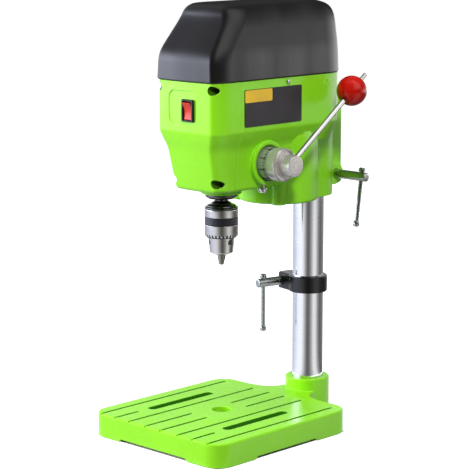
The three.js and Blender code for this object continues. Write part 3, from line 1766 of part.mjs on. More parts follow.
function addHead(parent) {
  addPiece(parent, "head_casting", headCasting(), finishes.paint);
  addPiece(parent, "front_shell", frontShell(), finishes.paint);
  for (const { name, x, z } of towers) {
    const screw = addPiece(parent, `shell_screw_${name}`, panScrew(shellScrew), finishes.steel);
    screw.rotation.x = Math.PI / 2;
    screw.position.set(x, -head.seam - tower.seat - gap, z);
  }
  addPiece(parent, "top_cover", topCover(), finishes.blackPlastic);
  for (const side of [-1, 1]) {
    const name = side < 0 ? "cover_screw_left" : "cover_screw_right";
    const screw = addPiece(parent, name, panScrew(coverScrew), finishes.chrome);
    screw.rotation.y = (side * Math.PI) / 2;
    screw.position.set(side * (head.halfWidth + gap), coverScrew.back, head.deck - coverScrew.drop);
  }
  addPiece(parent, "motor_cover", motorCoverSolid(), finishes.blackPlastic);
  addPiece(parent, "cable_gland", cableGland(), finishes.rubber);
  const lock = addPiece(parent, "feed_lock_screw", panScrew(lockScrew), finishes.chrome);
  lock.rotation.x = Math.PI;
  lock.position.set(lockScrew.out, feedAxis.back, head.nose - gap);
  addHeadClamp(parent);
}

function addSwitch(parent) {
  addPiece(parent, "switch_body", switchBody(), finishes.blackPlastic);
  const tilting = addPiece(parent, "switch_rocker", switchRocker(), finishes.redLens);
  tilting.rotation.x = THREE.MathUtils.degToRad(rocker.tilt);
  tilting.position.set(switchPlate.place, switchFace + rocker.pivotIn, switchLift);
}

function addDrive(parent) {
  addPiece(parent, "motor_body", motorBody(), finishes.darkSteel);
  addPiece(parent, "motor_shaft", motorShaft(), finishes.steel);
  addPiece(parent, "motor_pulley", motorPulley(), finishes.aluminium);
  addPiece(parent, "spindle_pulley", spindlePulley(), finishes.aluminium);
  const seat = deckTop - pulleyBearing.width + gap;
  const { radius, bore, width } = pulleyBearing;
  addPiece(parent, "pulley_bearing", ballBearing(radius, bore, width - gap, seat), finishes.steel);
  addPiece(parent, "drive_belt", driveBelt(), finishes.rubber);
}

function addQuill(parent) {
  const { radius, bore, width } = bearing;
  addPiece(parent, "quill", quillSolid(), finishes.steel);
  const lower = ballBearing(radius, bore, width, quillBearingLow);
  const upper = ballBearing(radius, bore, width, quillBearingHigh);
  addPiece(parent, "quill_bearing_lower", lower, finishes.steel);
  addPiece(parent, "quill_bearing_upper", upper, finishes.steel);
  addPiece(parent, "spindle", spindleSolid(), finishes.steel);
}

function addChuck(parent) {
  addPiece(parent, "chuck_body", chuckBodySolid(), finishes.chrome);
  addPiece(parent, "chuck_cap", chuckCapSolid(), finishes.darkSteel);
  addPiece(parent, "chuck_sleeve", chuckSleeveSolid(), finishes.chrome);
  addPiece(parent, "chuck_band", chuckBandSolid(), finishes.rubber);
  addPiece(parent, "chuck_nut", chuckNutSolid(), finishes.steel);
  for (let i = 0; i < jaw.count; i++) {
    addPiece(parent, `chuck_jaw_${i + 1}`, chuckJaw(i), finishes.steel);
  }
}

function addFeed(parent) {
  addPiece(parent, "pinion_shaft", pinionShaft(), finishes.steel);
  addPiece(parent, "depth_dial", depthDial(), finishes.steel);
  addPiece(parent, "feed_hub", feedHub(), finishes.aluminium);
  addPiece(parent, "hub_cap", hubCapSolid(), finishes.aluminium);
  addPiece(parent, "handle_rod", handleRod(), finishes.chrome);
  addPiece(parent, "handle_knob", handleKnob(), finishes.redKnob);
  addPiece(parent, "spring_cup", springCupSolid(), finishes.blackPlastic);
  addPiece(parent, "return_spring", returnSpring(), finishes.darkSteel);
}

// The origin ends at the middle of the drill's box, on the floor
function standOnOrigin(group) {
  const box = new THREE.Box3().setFromObject(group, true);
  const middle = box.getCenter(new THREE.Vector3());
  group.position.set(-middle.x, -middle.y, -box.min.z);
}

const drill = new THREE.Group();
const assembly = addGroup(drill, 0, 0, 0);
addTable(assembly);
addCollar(assembly);
const raised = addGroup(assembly, 0, 0, headLift);
addChuck(raised);
addHead(raised);
addSwitch(raised);
addDrive(raised);
addQuill(raised);
addFeed(raised);
standOnOrigin(assembly);

export default drill;
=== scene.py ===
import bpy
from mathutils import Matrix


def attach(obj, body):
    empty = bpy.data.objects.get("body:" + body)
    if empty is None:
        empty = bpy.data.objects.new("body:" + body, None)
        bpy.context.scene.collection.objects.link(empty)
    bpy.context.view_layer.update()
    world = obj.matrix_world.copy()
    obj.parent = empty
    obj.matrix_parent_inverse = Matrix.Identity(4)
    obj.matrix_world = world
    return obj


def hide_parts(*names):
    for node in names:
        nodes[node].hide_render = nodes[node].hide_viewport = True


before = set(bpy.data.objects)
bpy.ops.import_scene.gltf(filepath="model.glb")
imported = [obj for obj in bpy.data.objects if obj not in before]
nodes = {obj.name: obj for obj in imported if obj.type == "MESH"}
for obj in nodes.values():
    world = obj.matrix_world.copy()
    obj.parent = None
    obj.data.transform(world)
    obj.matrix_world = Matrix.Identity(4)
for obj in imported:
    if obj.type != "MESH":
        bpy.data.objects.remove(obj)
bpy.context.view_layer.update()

import math

import bmesh
import bpy
from mathutils import Matrix, Vector

headLift = 229.0  # the head casting's underside over the floor, in millimetres
throat = 128.2  # from the spindle's axis back to the column's
gap = 0.3  # between pieces that touch
past = 1.0  # how far a cutting shape passes the face that it cuts
towers = ((35.5, 121.4), (28, 30))  # the shell's screws, aside and over the casting's underside
# Pieces are made in millimetres about the spindle's axis, then brought into the model's frame
toFrame = Matrix.Translation((0, -0.0361, 0)) @ Matrix.Scale(0.001, 4)


def report(words):
    print("stage:", words, flush=True)


# Node trees
class Value:
    def __init__(self, board, socket):
        self.board = board
        self.socket = socket

    def __add__(self, other):
        return self.board.sum("ADD", self, other)

    def __radd__(self, other):
        return self.board.sum("ADD", other, self)

    def __sub__(self, other):
        return self.board.sum("SUBTRACT", self, other)

    def __rsub__(self, other):
        return self.board.sum("SUBTRACT", other, self)

    def __mul__(self, other):
        return self.board.sum("MULTIPLY", self, other)

    def __rmul__(self, other):
        return self.board.sum("MULTIPLY", other, self)

    def __truediv__(self, other):
        return self.board.sum("DIVIDE", self, other)

    def __pow__(self, other):
        return self.board.sum("POWER", self, other)


class Board:
    def __init__(self, tree):
        self.tree = tree

    # The one way in which a node is made: its type, its settings, then its sockets' values or links
    def node(self, kind, settings=None, sockets=None, output=0):
        made = self.tree.nodes.new(kind)
        for key, value in (settings or {}).items():
            setattr(made, key, value)
        for key, value in (sockets or {}).items():
            self.feed(made.inputs[key], value)
        return Value(self, made.outputs[output]) if made.outputs else made

    def feed(self, socket, value):
        if isinstance(value, Value):
            self.tree.links.new(value.socket, socket)
        else:
            socket.default_value = value

    def sum(self, operation, first, second):
        return self.node("ShaderNodeMath", {"operation": operation}, {0: first, 1: second})


class Finish(Board):
    def __init__(self, name, colour, roughness, metallic=0.0, round=0.0, **constants):
        self.material = bpy.data.materials.new(name)
        self.material.use_nodes = True
        super().__init__(self.material.node_tree)
        self.shader = self.tree.nodes["Principled BSDF"]
        self.colour = colour
        self.put("Base Color", (*colour, 1))
        self.put("Roughness", roughness)
        self.put("Metallic", metallic)
        for key, value in constants.items():
            self.put(key.replace("_", " "), value)
        self.normal = None
        if round:  # edges and inner corners catch the light as rounded ones do
            self.normal = self.node("ShaderNodeBevel", {"samples": 6}, {"Radius": round})
            self.put("Normal", self.normal)

    def put(self, socket, value):
        self.feed(self.shader.inputs[socket], value)

    def places(self, location=(0, 0, 0), scale=(1, 1, 1)):
        own = self.node("ShaderNodeTexCoord", output="Object")
        return self.node("ShaderNodeMapping", None, {"Vector": own, "Location": location, "Scale": scale})

    def noise(self, scale, detail=3.0, stretch=(1, 1, 1), vector=None):
        where = vector or self.places(scale=stretch)
        return self.node("ShaderNodeTexNoise", None, {"Vector": where, "Scale": scale, "Detail": detail})

    # Fine rings left by a lathe tool, about an axis through a point in millimetres
    def toolMarks(self, axis, centre, scale):
        x, y, z = toFrame @ Vector(centre)
        where = self.places(location=(-x, -y, -z))
        flat = {"x": (0, 1, 1), "y": (1, 0, 1), "z": (1, 1, 0)}[axis]
        across = self.node("ShaderNodeVectorMath", {"operation": "MULTIPLY"}, {0: where, 1: flat})
        radius = self.node("ShaderNodeVectorMath", {"operation": "LENGTH"}, {0: across}, output="Value")
        along = self.node("ShaderNodeSeparateXYZ", None, {0: where}, output="XYZ".index(axis.upper()))
        rings = self.node("ShaderNodeCombineXYZ", None, {0: radius, 1: along})
        return self.noise(scale, 4.0, vector=rings)

    def span(self, value, low, high, fromLow=0.3, fromHigh=0.7):
        sockets = {"Value": value, "From Min": fromLow, "From Max": fromHigh, "To Min": low, "To Max": high}
        return self.node("ShaderNodeMapRange", None, sockets)

    def mix(self, mask, first, second):
        return self.node("ShaderNodeMix", {"data_type": "RGBA"}, {0: mask, 6: first, 7: second}, output=2)

    def shade(self, mask, low, high):
        dark, light = ((*(min(1, c * share) for c in self.colour), 1) for share in (low, high))
        return self.mix(self.span(mask, 0, 1), dark, light)

    # 1 inside a box in millimetres, 0 outside it: used to paint shade into cut recesses
    def inside(self, low, high):
        mask = 1
        for axis in range(3):
            place = self.node("ShaderNodeSeparateXYZ", None, {0: self.places()}, output=axis)
            for end, test in ((low, "GREATER_THAN"), (high, "LESS_THAN")):
                mask = self.node("ShaderNodeMath", {"operation": test}, {0: place, 1: end[axis] / 1000}) * mask
        return mask

    # 1 within a radius of lines along Y, at both sides of the middle: the insides of the screws' recesses, where shade
    # is painted
    def nearLines(self, places, radius, depth):
        side = self.node("ShaderNodeVectorMath", {"operation": "ABSOLUTE"}, {0: self.places()})
        across = self.node("ShaderNodeSeparateXYZ", None, {0: side}, output=0)
        height = self.node("ShaderNodeSeparateXYZ", None, {0: side}, output=2)
        total = 0
        for x, z in places:
            away = (across - x / 1000) ** 2 + (height - z / 1000) ** 2
            total = self.node("ShaderNodeMath", {"operation": "LESS_THAN"}, {0: away, 1: (radius / 1000) ** 2}) + total
        front = self.node("ShaderNodeSeparateXYZ", None, {0: self.places()}, output=1)
        return total * self.node("ShaderNodeMath", {"operation": "LESS_THAN"}, {0: front, 1: depth / 1000})

    # 1 along edges, 0 on flats
    def edges(self, gain):
        flat = self.node("ShaderNodeNewGeometry", output="Normal")
        turned = self.node("ShaderNodeBevel", {"samples": 6}, {"Radius": 0.0009})
        along = self.node("ShaderNodeVectorMath", {"operation": "DOT_PRODUCT"}, {0: flat, 1: turned}, output="Value")
        return self.node("ShaderNodeMath", {"operation": "MULTIPLY", "use_clamp": True}, {0: 1 - along, 1: gain})

    def bump(self, height, distance, strength=1.0):
        sockets = {"Height": height, "Distance": distance, "Strength": strength}
        if self.normal:
            sockets["Normal"] = self.normal
        self.normal = self.node("ShaderNodeBump", None, sockets)
        self.put("Normal", self.normal)


def srgb(red, green, blue):
    return tuple(((c / 255 + 0.055) / 1.055) ** 2.4 if c > 10 else c / 3295 for c in (red, green, blue))


# Gloss enamel on a casting: a slightly wavy skin, with painted highlights along the edges and painted shade in recesses
def enamel(name, colour, wave, coat, recess=None, holeShade=None):
    finish = Finish(name, colour, 0.3, round=0.0011, Coat_Weight=coat, Coat_Roughness=0.1, Specular_IOR_Level=0.32)
    broad = finish.noise(11, 3)
    body = finish.shade(broad, 0.95, 1.05)
    if recess:
        box, hole = recess
        # painted shade: recesses darker, in a deep green
        deep = (colour[0] * 0.12, colour[1] * 0.3, colour[2] * 0.3, 1)
        body = finish.mix(finish.inside(*box) * (1 - finish.inside(*hole)), body, deep)
    if holeShade:
        # painted shade: the screws' recesses much darker
        body = finish.mix(finish.nearLines(*holeShade), body, (*(c * 0.2 for c in colour), 1))
    # painted highlight: edges lighter
    edgeHighlight = (*(min(1, c * 1.4 + 0.1) for c in colour), 1)
    finish.put("Base Color", finish.mix(finish.edges(3), body, edgeHighlight))
    finish.put("Roughness", finish.span(finish.noise(70, 4), 0.24, 0.38))
    finish.bump(finish.noise(320, 2), wave, 0.3)
    finish.bump(finish.noise(1900, 2), 0.000008, 0.3)
    return finish.material


# Moulded or painted black, with a fine pebbled grain, handling marks and lighter edges
def moulded(name, colour, roughness, grain, scale, marks=(1, 1, 1), change=0.06, **constants):
    finish = Finish(name, colour, roughness, round=0.0008, **constants)
    scuffs = finish.noise(26, 5, marks)
    body = finish.shade(scuffs, 0.82, 1.2)
    lighterEdge = (*(min(1, c * 1.8 + 0.01) for c in colour), 1)
    finish.put("Base Color", finish.mix(finish.edges(1.2), body, lighterEdge))
    finish.put("Roughness", finish.span(scuffs, roughness - change, roughness + change + 0.02))
    finish.bump(finish.noise(scale, 3), grain, 0.5)
    return finish.material


# Turned and plated metal: rings round the axis, soft clouds, a few handling marks and painted highlights along the
# edges
def turned(name, colour, low, high, axis, centre, rings=900, depth=0.000015, tone=(0.85, 1.06), metallic=1.0):
    finish = Finish(name, colour, low, metallic, round=0.0004)
    marks = finish.toolMarks(axis, centre, rings)
    clouds = finish.noise(45, 4)
    both = marks * 0.55 + clouds * 0.45
    # painted highlight: edges lighter
    light = (*(min(1, c * 1.5 + 0.1) for c in colour), 1)
    finish.put("Base Color", finish.mix(finish.edges(3.2), finish.shade(both, *tone), light))
    finish.put("Roughness", finish.span(both, low, high))
    finish.bump(marks, depth, 0.5)
    return finish.material


spindleLine = (0, 0, 0)
feedLine = (0, 26, headLift + 46)
columnLine = (0, throat, 0)
green = srgb(128, 205, 26)
# Painted shade inside the shell's screw recesses
screwRecessShade = ([(x, headLift + z) for x, z in towers], 4.47, -58)
# Painted shade: the table's slots and grooves are darker inside, apart from the hole under the spindle
paintedCutShade = (((-82, -127, 16), (82, 56, 23.75)), ((-12, -49, 15), (12, -23, 24)))
looks = {
    "headGreen": enamel("headGreen", green, 0.00003, 0.15, None, screwRecessShade),
    "tableGreen": enamel("tableGreen", green, 0.00003, 0.05, paintedCutShade),
    "coverBlack": moulded("coverBlack", srgb(16, 15, 15), 0.34, 0.00002, 1500, (1, 1, 0.12), 0.1),
    "switchBlack": moulded("switchBlack", srgb(20, 21, 22), 0.34, 0.00002, 2200),
    "collarBlack": moulded("collarBlack", srgb(7, 7, 9), 0.2, 0.00003, 500, Coat_Weight=0.2),
    "bandBlack": moulded("bandBlack", srgb(26, 25, 32), 0.38, 0.00002, 900),
    "rubberBlack": moulded("rubberBlack", srgb(30, 30, 31), 0.65, 0.00004, 1300),
    "markBlack": moulded("markBlack", srgb(38, 40, 40), 0.5, 0.00001, 900),
    "knobRed": moulded("knobRed", srgb(168, 16, 5), 0.16, 0.00001, 300, Specular_IOR_Level=0.35),
    "rockerRed": moulded("rockerRed", srgb(178, 44, 20), 0.34, 0.00001, 400),
    "labelBlack": moulded("labelBlack", srgb(24, 19, 25), 0.45, 0.00001, 600),
    "labelYellow": moulded("labelYellow", srgb(216, 176, 40), 0.4, 0.00001, 600),
    "columnChrome": turned("columnChrome", srgb(246, 246, 250), 0.08, 0.14, "z", columnLine, 1400, 0.000004,
                           (0.94, 1.03)),
    "chuckSteel": turned("chuckSteel", srgb(214, 211, 206), 0.05, 0.13, "z", spindleLine, 1600, 0.000003),
    "chuckBlack": turned("chuckBlack", srgb(96, 95, 96), 0.05, 0.14, "z", spindleLine, 1300, 0.000003, (0.8, 1.2)),
    "quillSteel": turned("quillSteel", srgb(96, 94, 92), 0.15, 0.32, "z", spindleLine, 1300, 0.00001, (0.75, 1.15)),
    "jawSteel": turned("jawSteel", srgb(150, 154, 140), 0.24, 0.42, "z", spindleLine, 900, 0.00002, (0.7, 1.15)),
    "hubSteel": turned("hubSteel", srgb(208, 203, 199), 0.18, 0.4, "x", feedLine, 1500, 0.00005, (0.66, 1.12), 0.65),
    "dialSteel": turned("dialSteel", srgb(164, 172, 160), 0.28, 0.5, "x", feedLine, 1900, 0.00006, (0.5, 1.15), 0.5),
    "brightSteel": turned("brightSteel", srgb(220, 219, 216), 0.08, 0.22, "x", feedLine, 700, 0.00001),
    "zincSteel": turned("zincSteel", srgb(186, 190, 184), 0.16, 0.36, "z", columnLine, 600, 0.00002, (0.65, 1.1)),
    "darkSteel": turned("darkSteel", srgb(60, 58, 56), 0.2, 0.38, "z", spindleLine, 700, 0.00001, (0.7, 1.2)),
    "insideAlloy": turned("insideAlloy", srgb(168, 170, 166), 0.28, 0.46, "z", spindleLine, 700, 0.00002),
}
report("materials")


# Meshes
def asMesh(name, build):
    mesh = bpy.data.meshes.new(name)
    build.to_mesh(mesh)
    build.free()
    return mesh


def asPiece(name, mesh, look, body, replaced=(), sharp=32):
    for polygon in mesh.polygons:
        polygon.use_smooth = True
    mesh.set_sharp_from_angle(angle=math.radians(sharp))
    mesh.materials.clear()
    mesh.materials.append(looks[look])
    piece = bpy.data.objects.new(name, mesh)
    bpy.context.scene.collection.objects.link(piece)
    flat = piece.modifiers.new("flat", "WEIGHTED_NORMAL")  # wide faces keep their reflections straight
    flat.keep_sharp = True
    weighed = evaluated(piece, name + "Mesh")
    piece.modifiers.remove(flat)
    piece.data = weighed
    bpy.data.meshes.remove(mesh)
    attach(piece, body)
    if replaced:
        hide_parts(*replaced)
    return piece


def evaluated(thing, name):
    graph = bpy.context.evaluated_depsgraph_get()
    graph.update()
    mesh = bpy.data.meshes.new_from_object(thing.evaluated_get(graph))
    mesh.name = name
    return mesh


def tempObject(mesh):
    thing = bpy.data.objects.new("temp", mesh)
    bpy.context.scene.collection.objects.link(thing)
    return thing


# A solid joined with, cut by or kept inside other solids, in turn
def carved(name, solid, steps, move=True):
    base = tempObject(asMesh(name, solid))
    tools = []
    for operation, shape in steps:
        tool = tempObject(shape if isinstance(shape, bpy.types.Mesh) else asMesh("tool", shape))
        tools.append(tool)
        step = base.modifiers.new("step", "BOOLEAN")
        step.operation = operation
        step.solver = "MANIFOLD"
        step.object = tool
    mesh = evaluated(base, name)
    for thing in [base, *tools]:
        old = thing.data
        bpy.data.objects.remove(thing)
        bpy.data.meshes.remove(old)
    if move:
        mesh.transform(toFrame)
    mesh.materials.clear()
    return mesh


def boxOf(xs, ys, zs):
    build = bmesh.new()
    bmesh.ops.create_cube(build, size=1)
    middle = [(low + high) / 2 for low, high in (xs, ys, zs)]
    size = [high - low for low, high in (xs, ys, zs)]
    build.transform(Matrix.Translation(middle) @ Matrix.Diagonal((*size, 1)))
    return build


# Turns +Z onto an axis through a point
def along(axis, at=(0, 0, 0)):
    turns = {"x": Matrix.Rotation(math.pi / 2, 4, "Y"), "y": Matrix.Rotation(-math.pi / 2, 4, "X")}
    return Matrix.Translation(at) @ turns.get(axis, Matrix.Identity(4))


columnAt = along("z", (0, throat, 0))


# A closed profile of (radius, place) points, with a third number where a corner's rounding differs
def rounded(profile, radius, steps=4):
    out = []
    for i, point in enumerate(profile):
        here = Vector(point[:2])
        before, after = Vector(profile[i - 1][:2]) - here, Vector(profile[(i + 1) % len(profile)][:2]) - here
        size = point[2] if len(point) > 2 else radius
        reach = min(size, before.length * 0.45, after.length * 0.45)
        if reach < 1e-3 or here.x < 1e-6:
            out.append(here)
            continue
        start, end = here + before.normalized() * reach, here + after.normalized() * reach
        for step in range(steps + 1):
            t = step / steps
            out.append(start * (1 - t) ** 2 + here * 2 * t * (1 - t) + end * t * t)
    return out


def lathe(profile, radius=0.3, sides=96, matrix=None):
    build = bmesh.new()
    rings = []
    for r, z in rounded(profile, radius):
        count = 1 if r < 1e-6 else sides
        angles = [2 * math.pi * i / sides for i in range(count)]
        rings.append([build.verts.new((r * math.cos(a), r * math.sin(a), z)) for a in angles])
    for ring, following in zip(rings, rings[1:] + rings[:1]):
        for j in range(sides):
            k = (j + 1) % sides
            corners = [ring[j % len(ring)], ring[k % len(ring)]]
            corners += [following[k % len(following)], following[j % len(following)]]
            unique = list(dict.fromkeys(corners))
            if len(unique) > 2:
                build.faces.new(unique)
    bmesh.ops.recalc_face_normals(build, faces=build.faces)
    build.transform(matrix or Matrix.Identity(4))
    return build


def bar(radius, low, high, matrix=None, sides=64):
    return lathe([(0, low), (radius, low), (radius, high), (0, high)], 0, sides, matrix)


def latheMesh(name, profile, radius=0.3, sides=96, matrix=None):
    build = lathe(profile, radius, sides, matrix)
    build.transform(toFrame)
    return asMesh(name, build)


# A skin through rings of equal point counts, closed at both ends
def loft(rings):
    build = bmesh.new()
    made = [[build.verts.new(point) for point in ring] for ring in rings]
    for low, high in zip(made, made[1:]):
        for i in range(len(low)):
            j = (i + 1) % len(low)
            build.faces.new((low[i], low[j], high[j], high[i]))
    build.faces.new(list(reversed(made[0])))
    build.faces.new(made[-1])
    bmesh.ops.remove_doubles(build, verts=build.verts, dist=1e-4)
    return build


def arc(cx, cy, rx, ry, start, end, steps):
    angles = [math.radians(start + (end - start) * i / steps) for i in range(steps + 1)]
    return [(cx + rx * math.cos(a), cy + ry * math.sin(a)) for a in angles]


def roundedBox(x0, x1, y0, y1, round, steps=6):
    corners = ((x1 - round, y0 + round), (x1 - round, y1 - round), (x0 + round, y1 - round), (x0 + round, y0 + round))
    return [point for i, (x, y) in enumerate(corners) for point in arc(x, y, round, round, 90 * i - 90, 90 * i, steps)]


# A rounded outline of the head or the table, seen from above
def outline(halfWidth, front, rear, corner, cornerLength=None, rearCorner=None, bow=0.0, fine=12):
    length = cornerLength or corner
    back = corner if rearCorner is None else rearCorner
    edge = halfWidth - corner
    points = []
    for i in range(fine + 1):
        t = i / fine
        points.append((-edge + 2 * edge * t, front - 4 * bow * t * (1 - t)))
    points += arc(edge, front + length, corner, length, -90, 0, fine)[1:]
    points += arc(halfWidth - back, rear - back, back, back, 0, 90, 2 * fine)
    points += arc(-halfWidth + back, rear - back, back, back, 90, 180, 2 * fine)
    points += arc(-edge, front + length, corner, length, 180, 270, fine)[:-1]
    return points


# Rows of numbers, with each inner row rounded off; the first number is the height
def softened(rows, reaches, steps=5):
    out = [rows[0]]
    for before, here, after, reach in zip(rows, rows[1:], rows[2:], reaches):
        sizes = [math.dist(here[:3], other[:3]) for other in (before, after)]
        shares = [min(0.48, reach / max(size, 1e-6)) for size in sizes]
        start = [h + (b - h) * shares[0] for h, b in zip(here, before)]
        end = [h + (a - h) * shares[1] for h, a in zip(here, after)]
        for step in range(steps + 1):
            t = step / steps
            out.append([s * (1 - t) ** 2 + h * 2 * t * (1 - t) + e * t * t for s, h, e in zip(start, here, end)])
    out.append(rows[-1])
    return out


# Geometry Nodes
class Shaper(Board):
    def __init__(self, name, inputs):
        self.group = bpy.data.node_groups.new(name, "GeometryNodeTree")
        face = self.group.interface
        face.new_socket("Geometry", in_out="INPUT", socket_type="NodeSocketGeometry")
        self.sockets = {}
        for key, (kind, value) in inputs.items():
            made = face.new_socket(key, in_out="INPUT", socket_type=kind)
            if value is not None:
                made.default_value = value
            self.sockets[key] = made.identifier
        face.new_socket("Geometry", in_out="OUTPUT", socket_type="NodeSocketGeometry")
        super().__init__(self.group)
        self.entry = self.tree.nodes.new("NodeGroupInput")

    def input(self, key):
        return Value(self, self.entry.outputs[key])

    # Every tree ends alike: real faces, in the piece's material
    def close(self, instances):
        real = self.node("GeometryNodeRealizeInstances", None, {0: instances})
        painted = self.node("GeometryNodeSetMaterial", None, {"Geometry": real, "Material": self.input("Material")})
        self.node("NodeGroupOutput", None, {0: painted})

    def apply(self, name, build, look, **values):
        thing = tempObject(asMesh(name, build))
        step = thing.modifiers.new(name, "NODES")
        step.node_group = self.group
        for key, value in {"Material": looks[look], **values}.items():
            step[self.sockets[key]] = value
        mesh = evaluated(thing, name)
        old = thing.data
        thing.modifiers.remove(step)
        bpy.data.objects.remove(thing)
        bpy.data.meshes.remove(old)
        return mesh


# Copies of a shape round the Z axis
ringShaper = Shaper("ringShaper", {
    "Count": ("NodeSocketInt", 12),
    "Start": ("NodeSocketFloat", 0.0),
    "Material": ("NodeSocketMaterial", None),
})
spots = ringShaper.node("GeometryNodeMeshLine", None, {"Count": ringShaper.input("Count"), "Offset": (0, 0, 0)})
place = ringShaper.node("GeometryNodeInputIndex")
angle = place * (2 * math.pi) / ringShaper.input("Count") + ringShaper.input("Start")
spin = ringShaper.node("ShaderNodeCombineXYZ", None, {2: angle})
ringShaper.close(ringShaper.node("GeometryNodeInstanceOnPoints", None, {
    "Points": spots, "Instance": ringShaper.input("Geometry"), "Rotation": spin,
}))

# Copies of a shape in a row
rowShaper = Shaper("rowShaper", {
    "Count": ("NodeSocketInt", 4),
    "Step": ("NodeSocketVector", (0, 0, 1)),
    "Material": ("NodeSocketMaterial", None),
})
spots = rowShaper.node("GeometryNodeMeshLine", None, {
    "Count": rowShaper.input("Count"), "Offset": rowShaper.input("Step"),
})
rowShaper.close(rowShaper.node("GeometryNodeInstanceOnPoints", None, {
    "Points": spots, "Instance": rowShaper.input("Geometry"),
}))
report("shapers")

# Camera
view = {"azimuth": 44.2, "pitch": 10.28, "distance": 1.82131, "aside": 0.01341, "height": 0.53226, "lens": 143.45}
heading = math.radians(view["azimuth"])
backward = Vector((math.sin(heading), -math.cos(heading), 0))
rightward = Vector((math.cos(heading), math.sin(heading), 0))
lens = bpy.data.cameras.new("camera")
lens.lens = view["lens"]
lens.sensor_width = 36
camera = bpy.data.objects.new("camera", lens)
camera.location = backward * view["distance"] + rightward * view["aside"] + Vector((0, -0.0361, view["height"]))
camera.rotation_euler = (math.radians(90 - view["pitch"]), 0, heading)
bpy.context.scene.collection.objects.link(camera)
bpy.context.scene.camera = camera
bpy.context.scene.view_settings.view_transform = "Standard"

# Table
table = {
    "half": 90, "front": -96, "rear": 94, "corner": 19, "height": 24, "round": 1.6, "wall": 6, "plate": 6,
    "grooveHalf": 1.7, "grooveDepth": 1.8, "hole": 10, "slotAt": 52.5, "slotHalf": 5.2, "slotFront": -50,
    "slotRear": 39, "footGap": 3.2, "frontGap": 45, "sideGap": 41, "slope": 6, "ribHalf": 2,
    "ribFoot": 8, "holeRing": 6,
}
boss = {"radius": 23, "top": 36.2, "webHalf": 50, "waist": 20, "land": 12}


def tableRing(inset, z):
    points = outline(table["half"] - inset, table["front"] + inset, table["rear"] - inset, table["corner"] - inset)
    return [(x, y, z) for x, y in points]


def webRing(inset, z, steps=16):
    start, rear = table["rear"] - boss["land"], table["rear"]
    half, waist = boss["webHalf"] - inset, boss["waist"] - inset
    side = []
    for i in range(steps + 1):
        t = i / steps
        x = half * (1 - t) ** 2 + waist * 2 * t * (1 - t) + waist * t * t
        y = (rear - inset) * (1 - t) ** 2 + (rear + inset) * 2 * t * (1 - t) + (throat - inset) * t * t
        side.append((x, y, z))
    right = [(half, start, z), *side]
    return right + [(-x, y, z) for x, y, z in reversed(right)]


def footCutter(half, low, high, turn):
    slope, top = table["slope"], table["footGap"]
    rows = [(-half - slope, -past), (half + slope, -past), (half, top), (-half, top)]
    build = loft([[(x, y, z) for x, z in reversed(rows)] for y in (low, high)])
    bmesh.ops.recalc_face_normals(build, faces=build.faces)
    build.transform(Matrix.Rotation(turn, 4, "Z"))
    return build


def tableMesh():
    t = table
    height, under, edge = t["height"], t["height"] - t["plate"], t["round"]
    rings = [tableRing(0.8, 0), tableRing(0, 0.8)]
    turns = (0, 0.4, 0.8, 1.2, math.pi / 2)
    rings += [tableRing(edge * (1 - math.cos(a)), height - edge * (1 - math.sin(a))) for a in turns]
    slots = []
    for side in (-1, 1):
        middle = side * t["slotAt"]
        r = t["slotHalf"]
        ends = arc(middle, t["slotRear"] - r, r, r, 0, 180, 12) + arc(middle, t["slotFront"] + r, r, r, 180, 360, 12)
        slots.append(loft([[(x, y, z) for x, y in ends] for z in (-past, height + past)]))
    grooves = []
    for x, low, high in ((75, -98, 82), (54, -98, -63), (34, -98, 82), (10.5, -98, -31), (10.5, 24.5, 82)):
        for side in (-1, 1):
            xs = (side * x - t["grooveHalf"], side * x + t["grooveHalf"])
            grooves.append(boxOf(xs, (low, high), (height - t["grooveDepth"], height + past)))
    ribs = []
    for side in (-1, 1):
        ribAt = side * (t["slotAt"] - t["slotHalf"] - t["wall"])
        ribs.append(boxOf((ribAt - t["ribHalf"], ribAt + t["ribHalf"]), (-93, 91), (t["ribFoot"], under + past)))
    r, top = boss["radius"], boss["top"]
    profile = [(0, 0), (r, 0, 0.5), (r, top, 1.6), (0, top)]
    return carved("tableLook", loft(rings), [
        ("UNION", loft([webRing(0, 0), webRing(0, height - 1), webRing(1, height)])),
        ("DIFFERENCE", loft([tableRing(t["wall"], -past), tableRing(t["wall"], under)])),
        ("DIFFERENCE", loft([webRing(t["wall"], -past), webRing(t["wall"], under)])),
        *[("UNION", rib) for rib in ribs],
        ("UNION", bar(t["hole"] + t["holeRing"], t["ribFoot"], under + past)),
        ("UNION", lathe(profile, 0.3, 96, columnAt)),
        ("DIFFERENCE", footCutter(t["frontGap"], -98, -88, 0)),
        ("DIFFERENCE", footCutter(t["sideGap"], -92, 92, math.pi / 2)),
        *[("DIFFERENCE", shape) for shape in grooves + slots],
        ("DIFFERENCE", bar(t["hole"], -past, height + past)),
        ("DIFFERENCE", bar(16.3, 6, 40, columnAt, 96)),
        ("DIFFERENCE", bar(13, -past, 7, columnAt)),
        ("DIFFERENCE", bar(4.3, throat, throat + 30, along("y", (0, 0, top - 9)), 32)),
    ])


asPiece("tableLook", tableMesh(), "tableGreen", "base", ["base_casting"])
report("table")

# Column
columnProfile = [(13, 6.3), (16, 6.3, 1.2), (16, 320.3, 1.2), (13, 320.3)]
asPiece("columnLook", latheMesh("columnLook", columnProfile, 0.3, 128, columnAt), "columnChrome", "column",
        ["column"])
grub = [(0, 0), (3.6, 0), (3.6, 8.4, 0.6), (2.3, 8.9, 0.2), (2.2, 5), (0, 4.6)]
asPiece("columnScrew", latheMesh("columnScrew", grub, 0.2, 48, along("y", (0, throat + 16.5, 27.2))),
        "darkSteel", "base", ["column_grub_screw"])

# Stop collar
collar = {"bottom": 127, "height": 17, "ring": 20.1, "bore": 16.3, "lug": 30, "half": 18.4, "nose": 3, "slit": 3,
          "turn": -12.75, "screwAt": 22.4, "screwHole": 5.0}


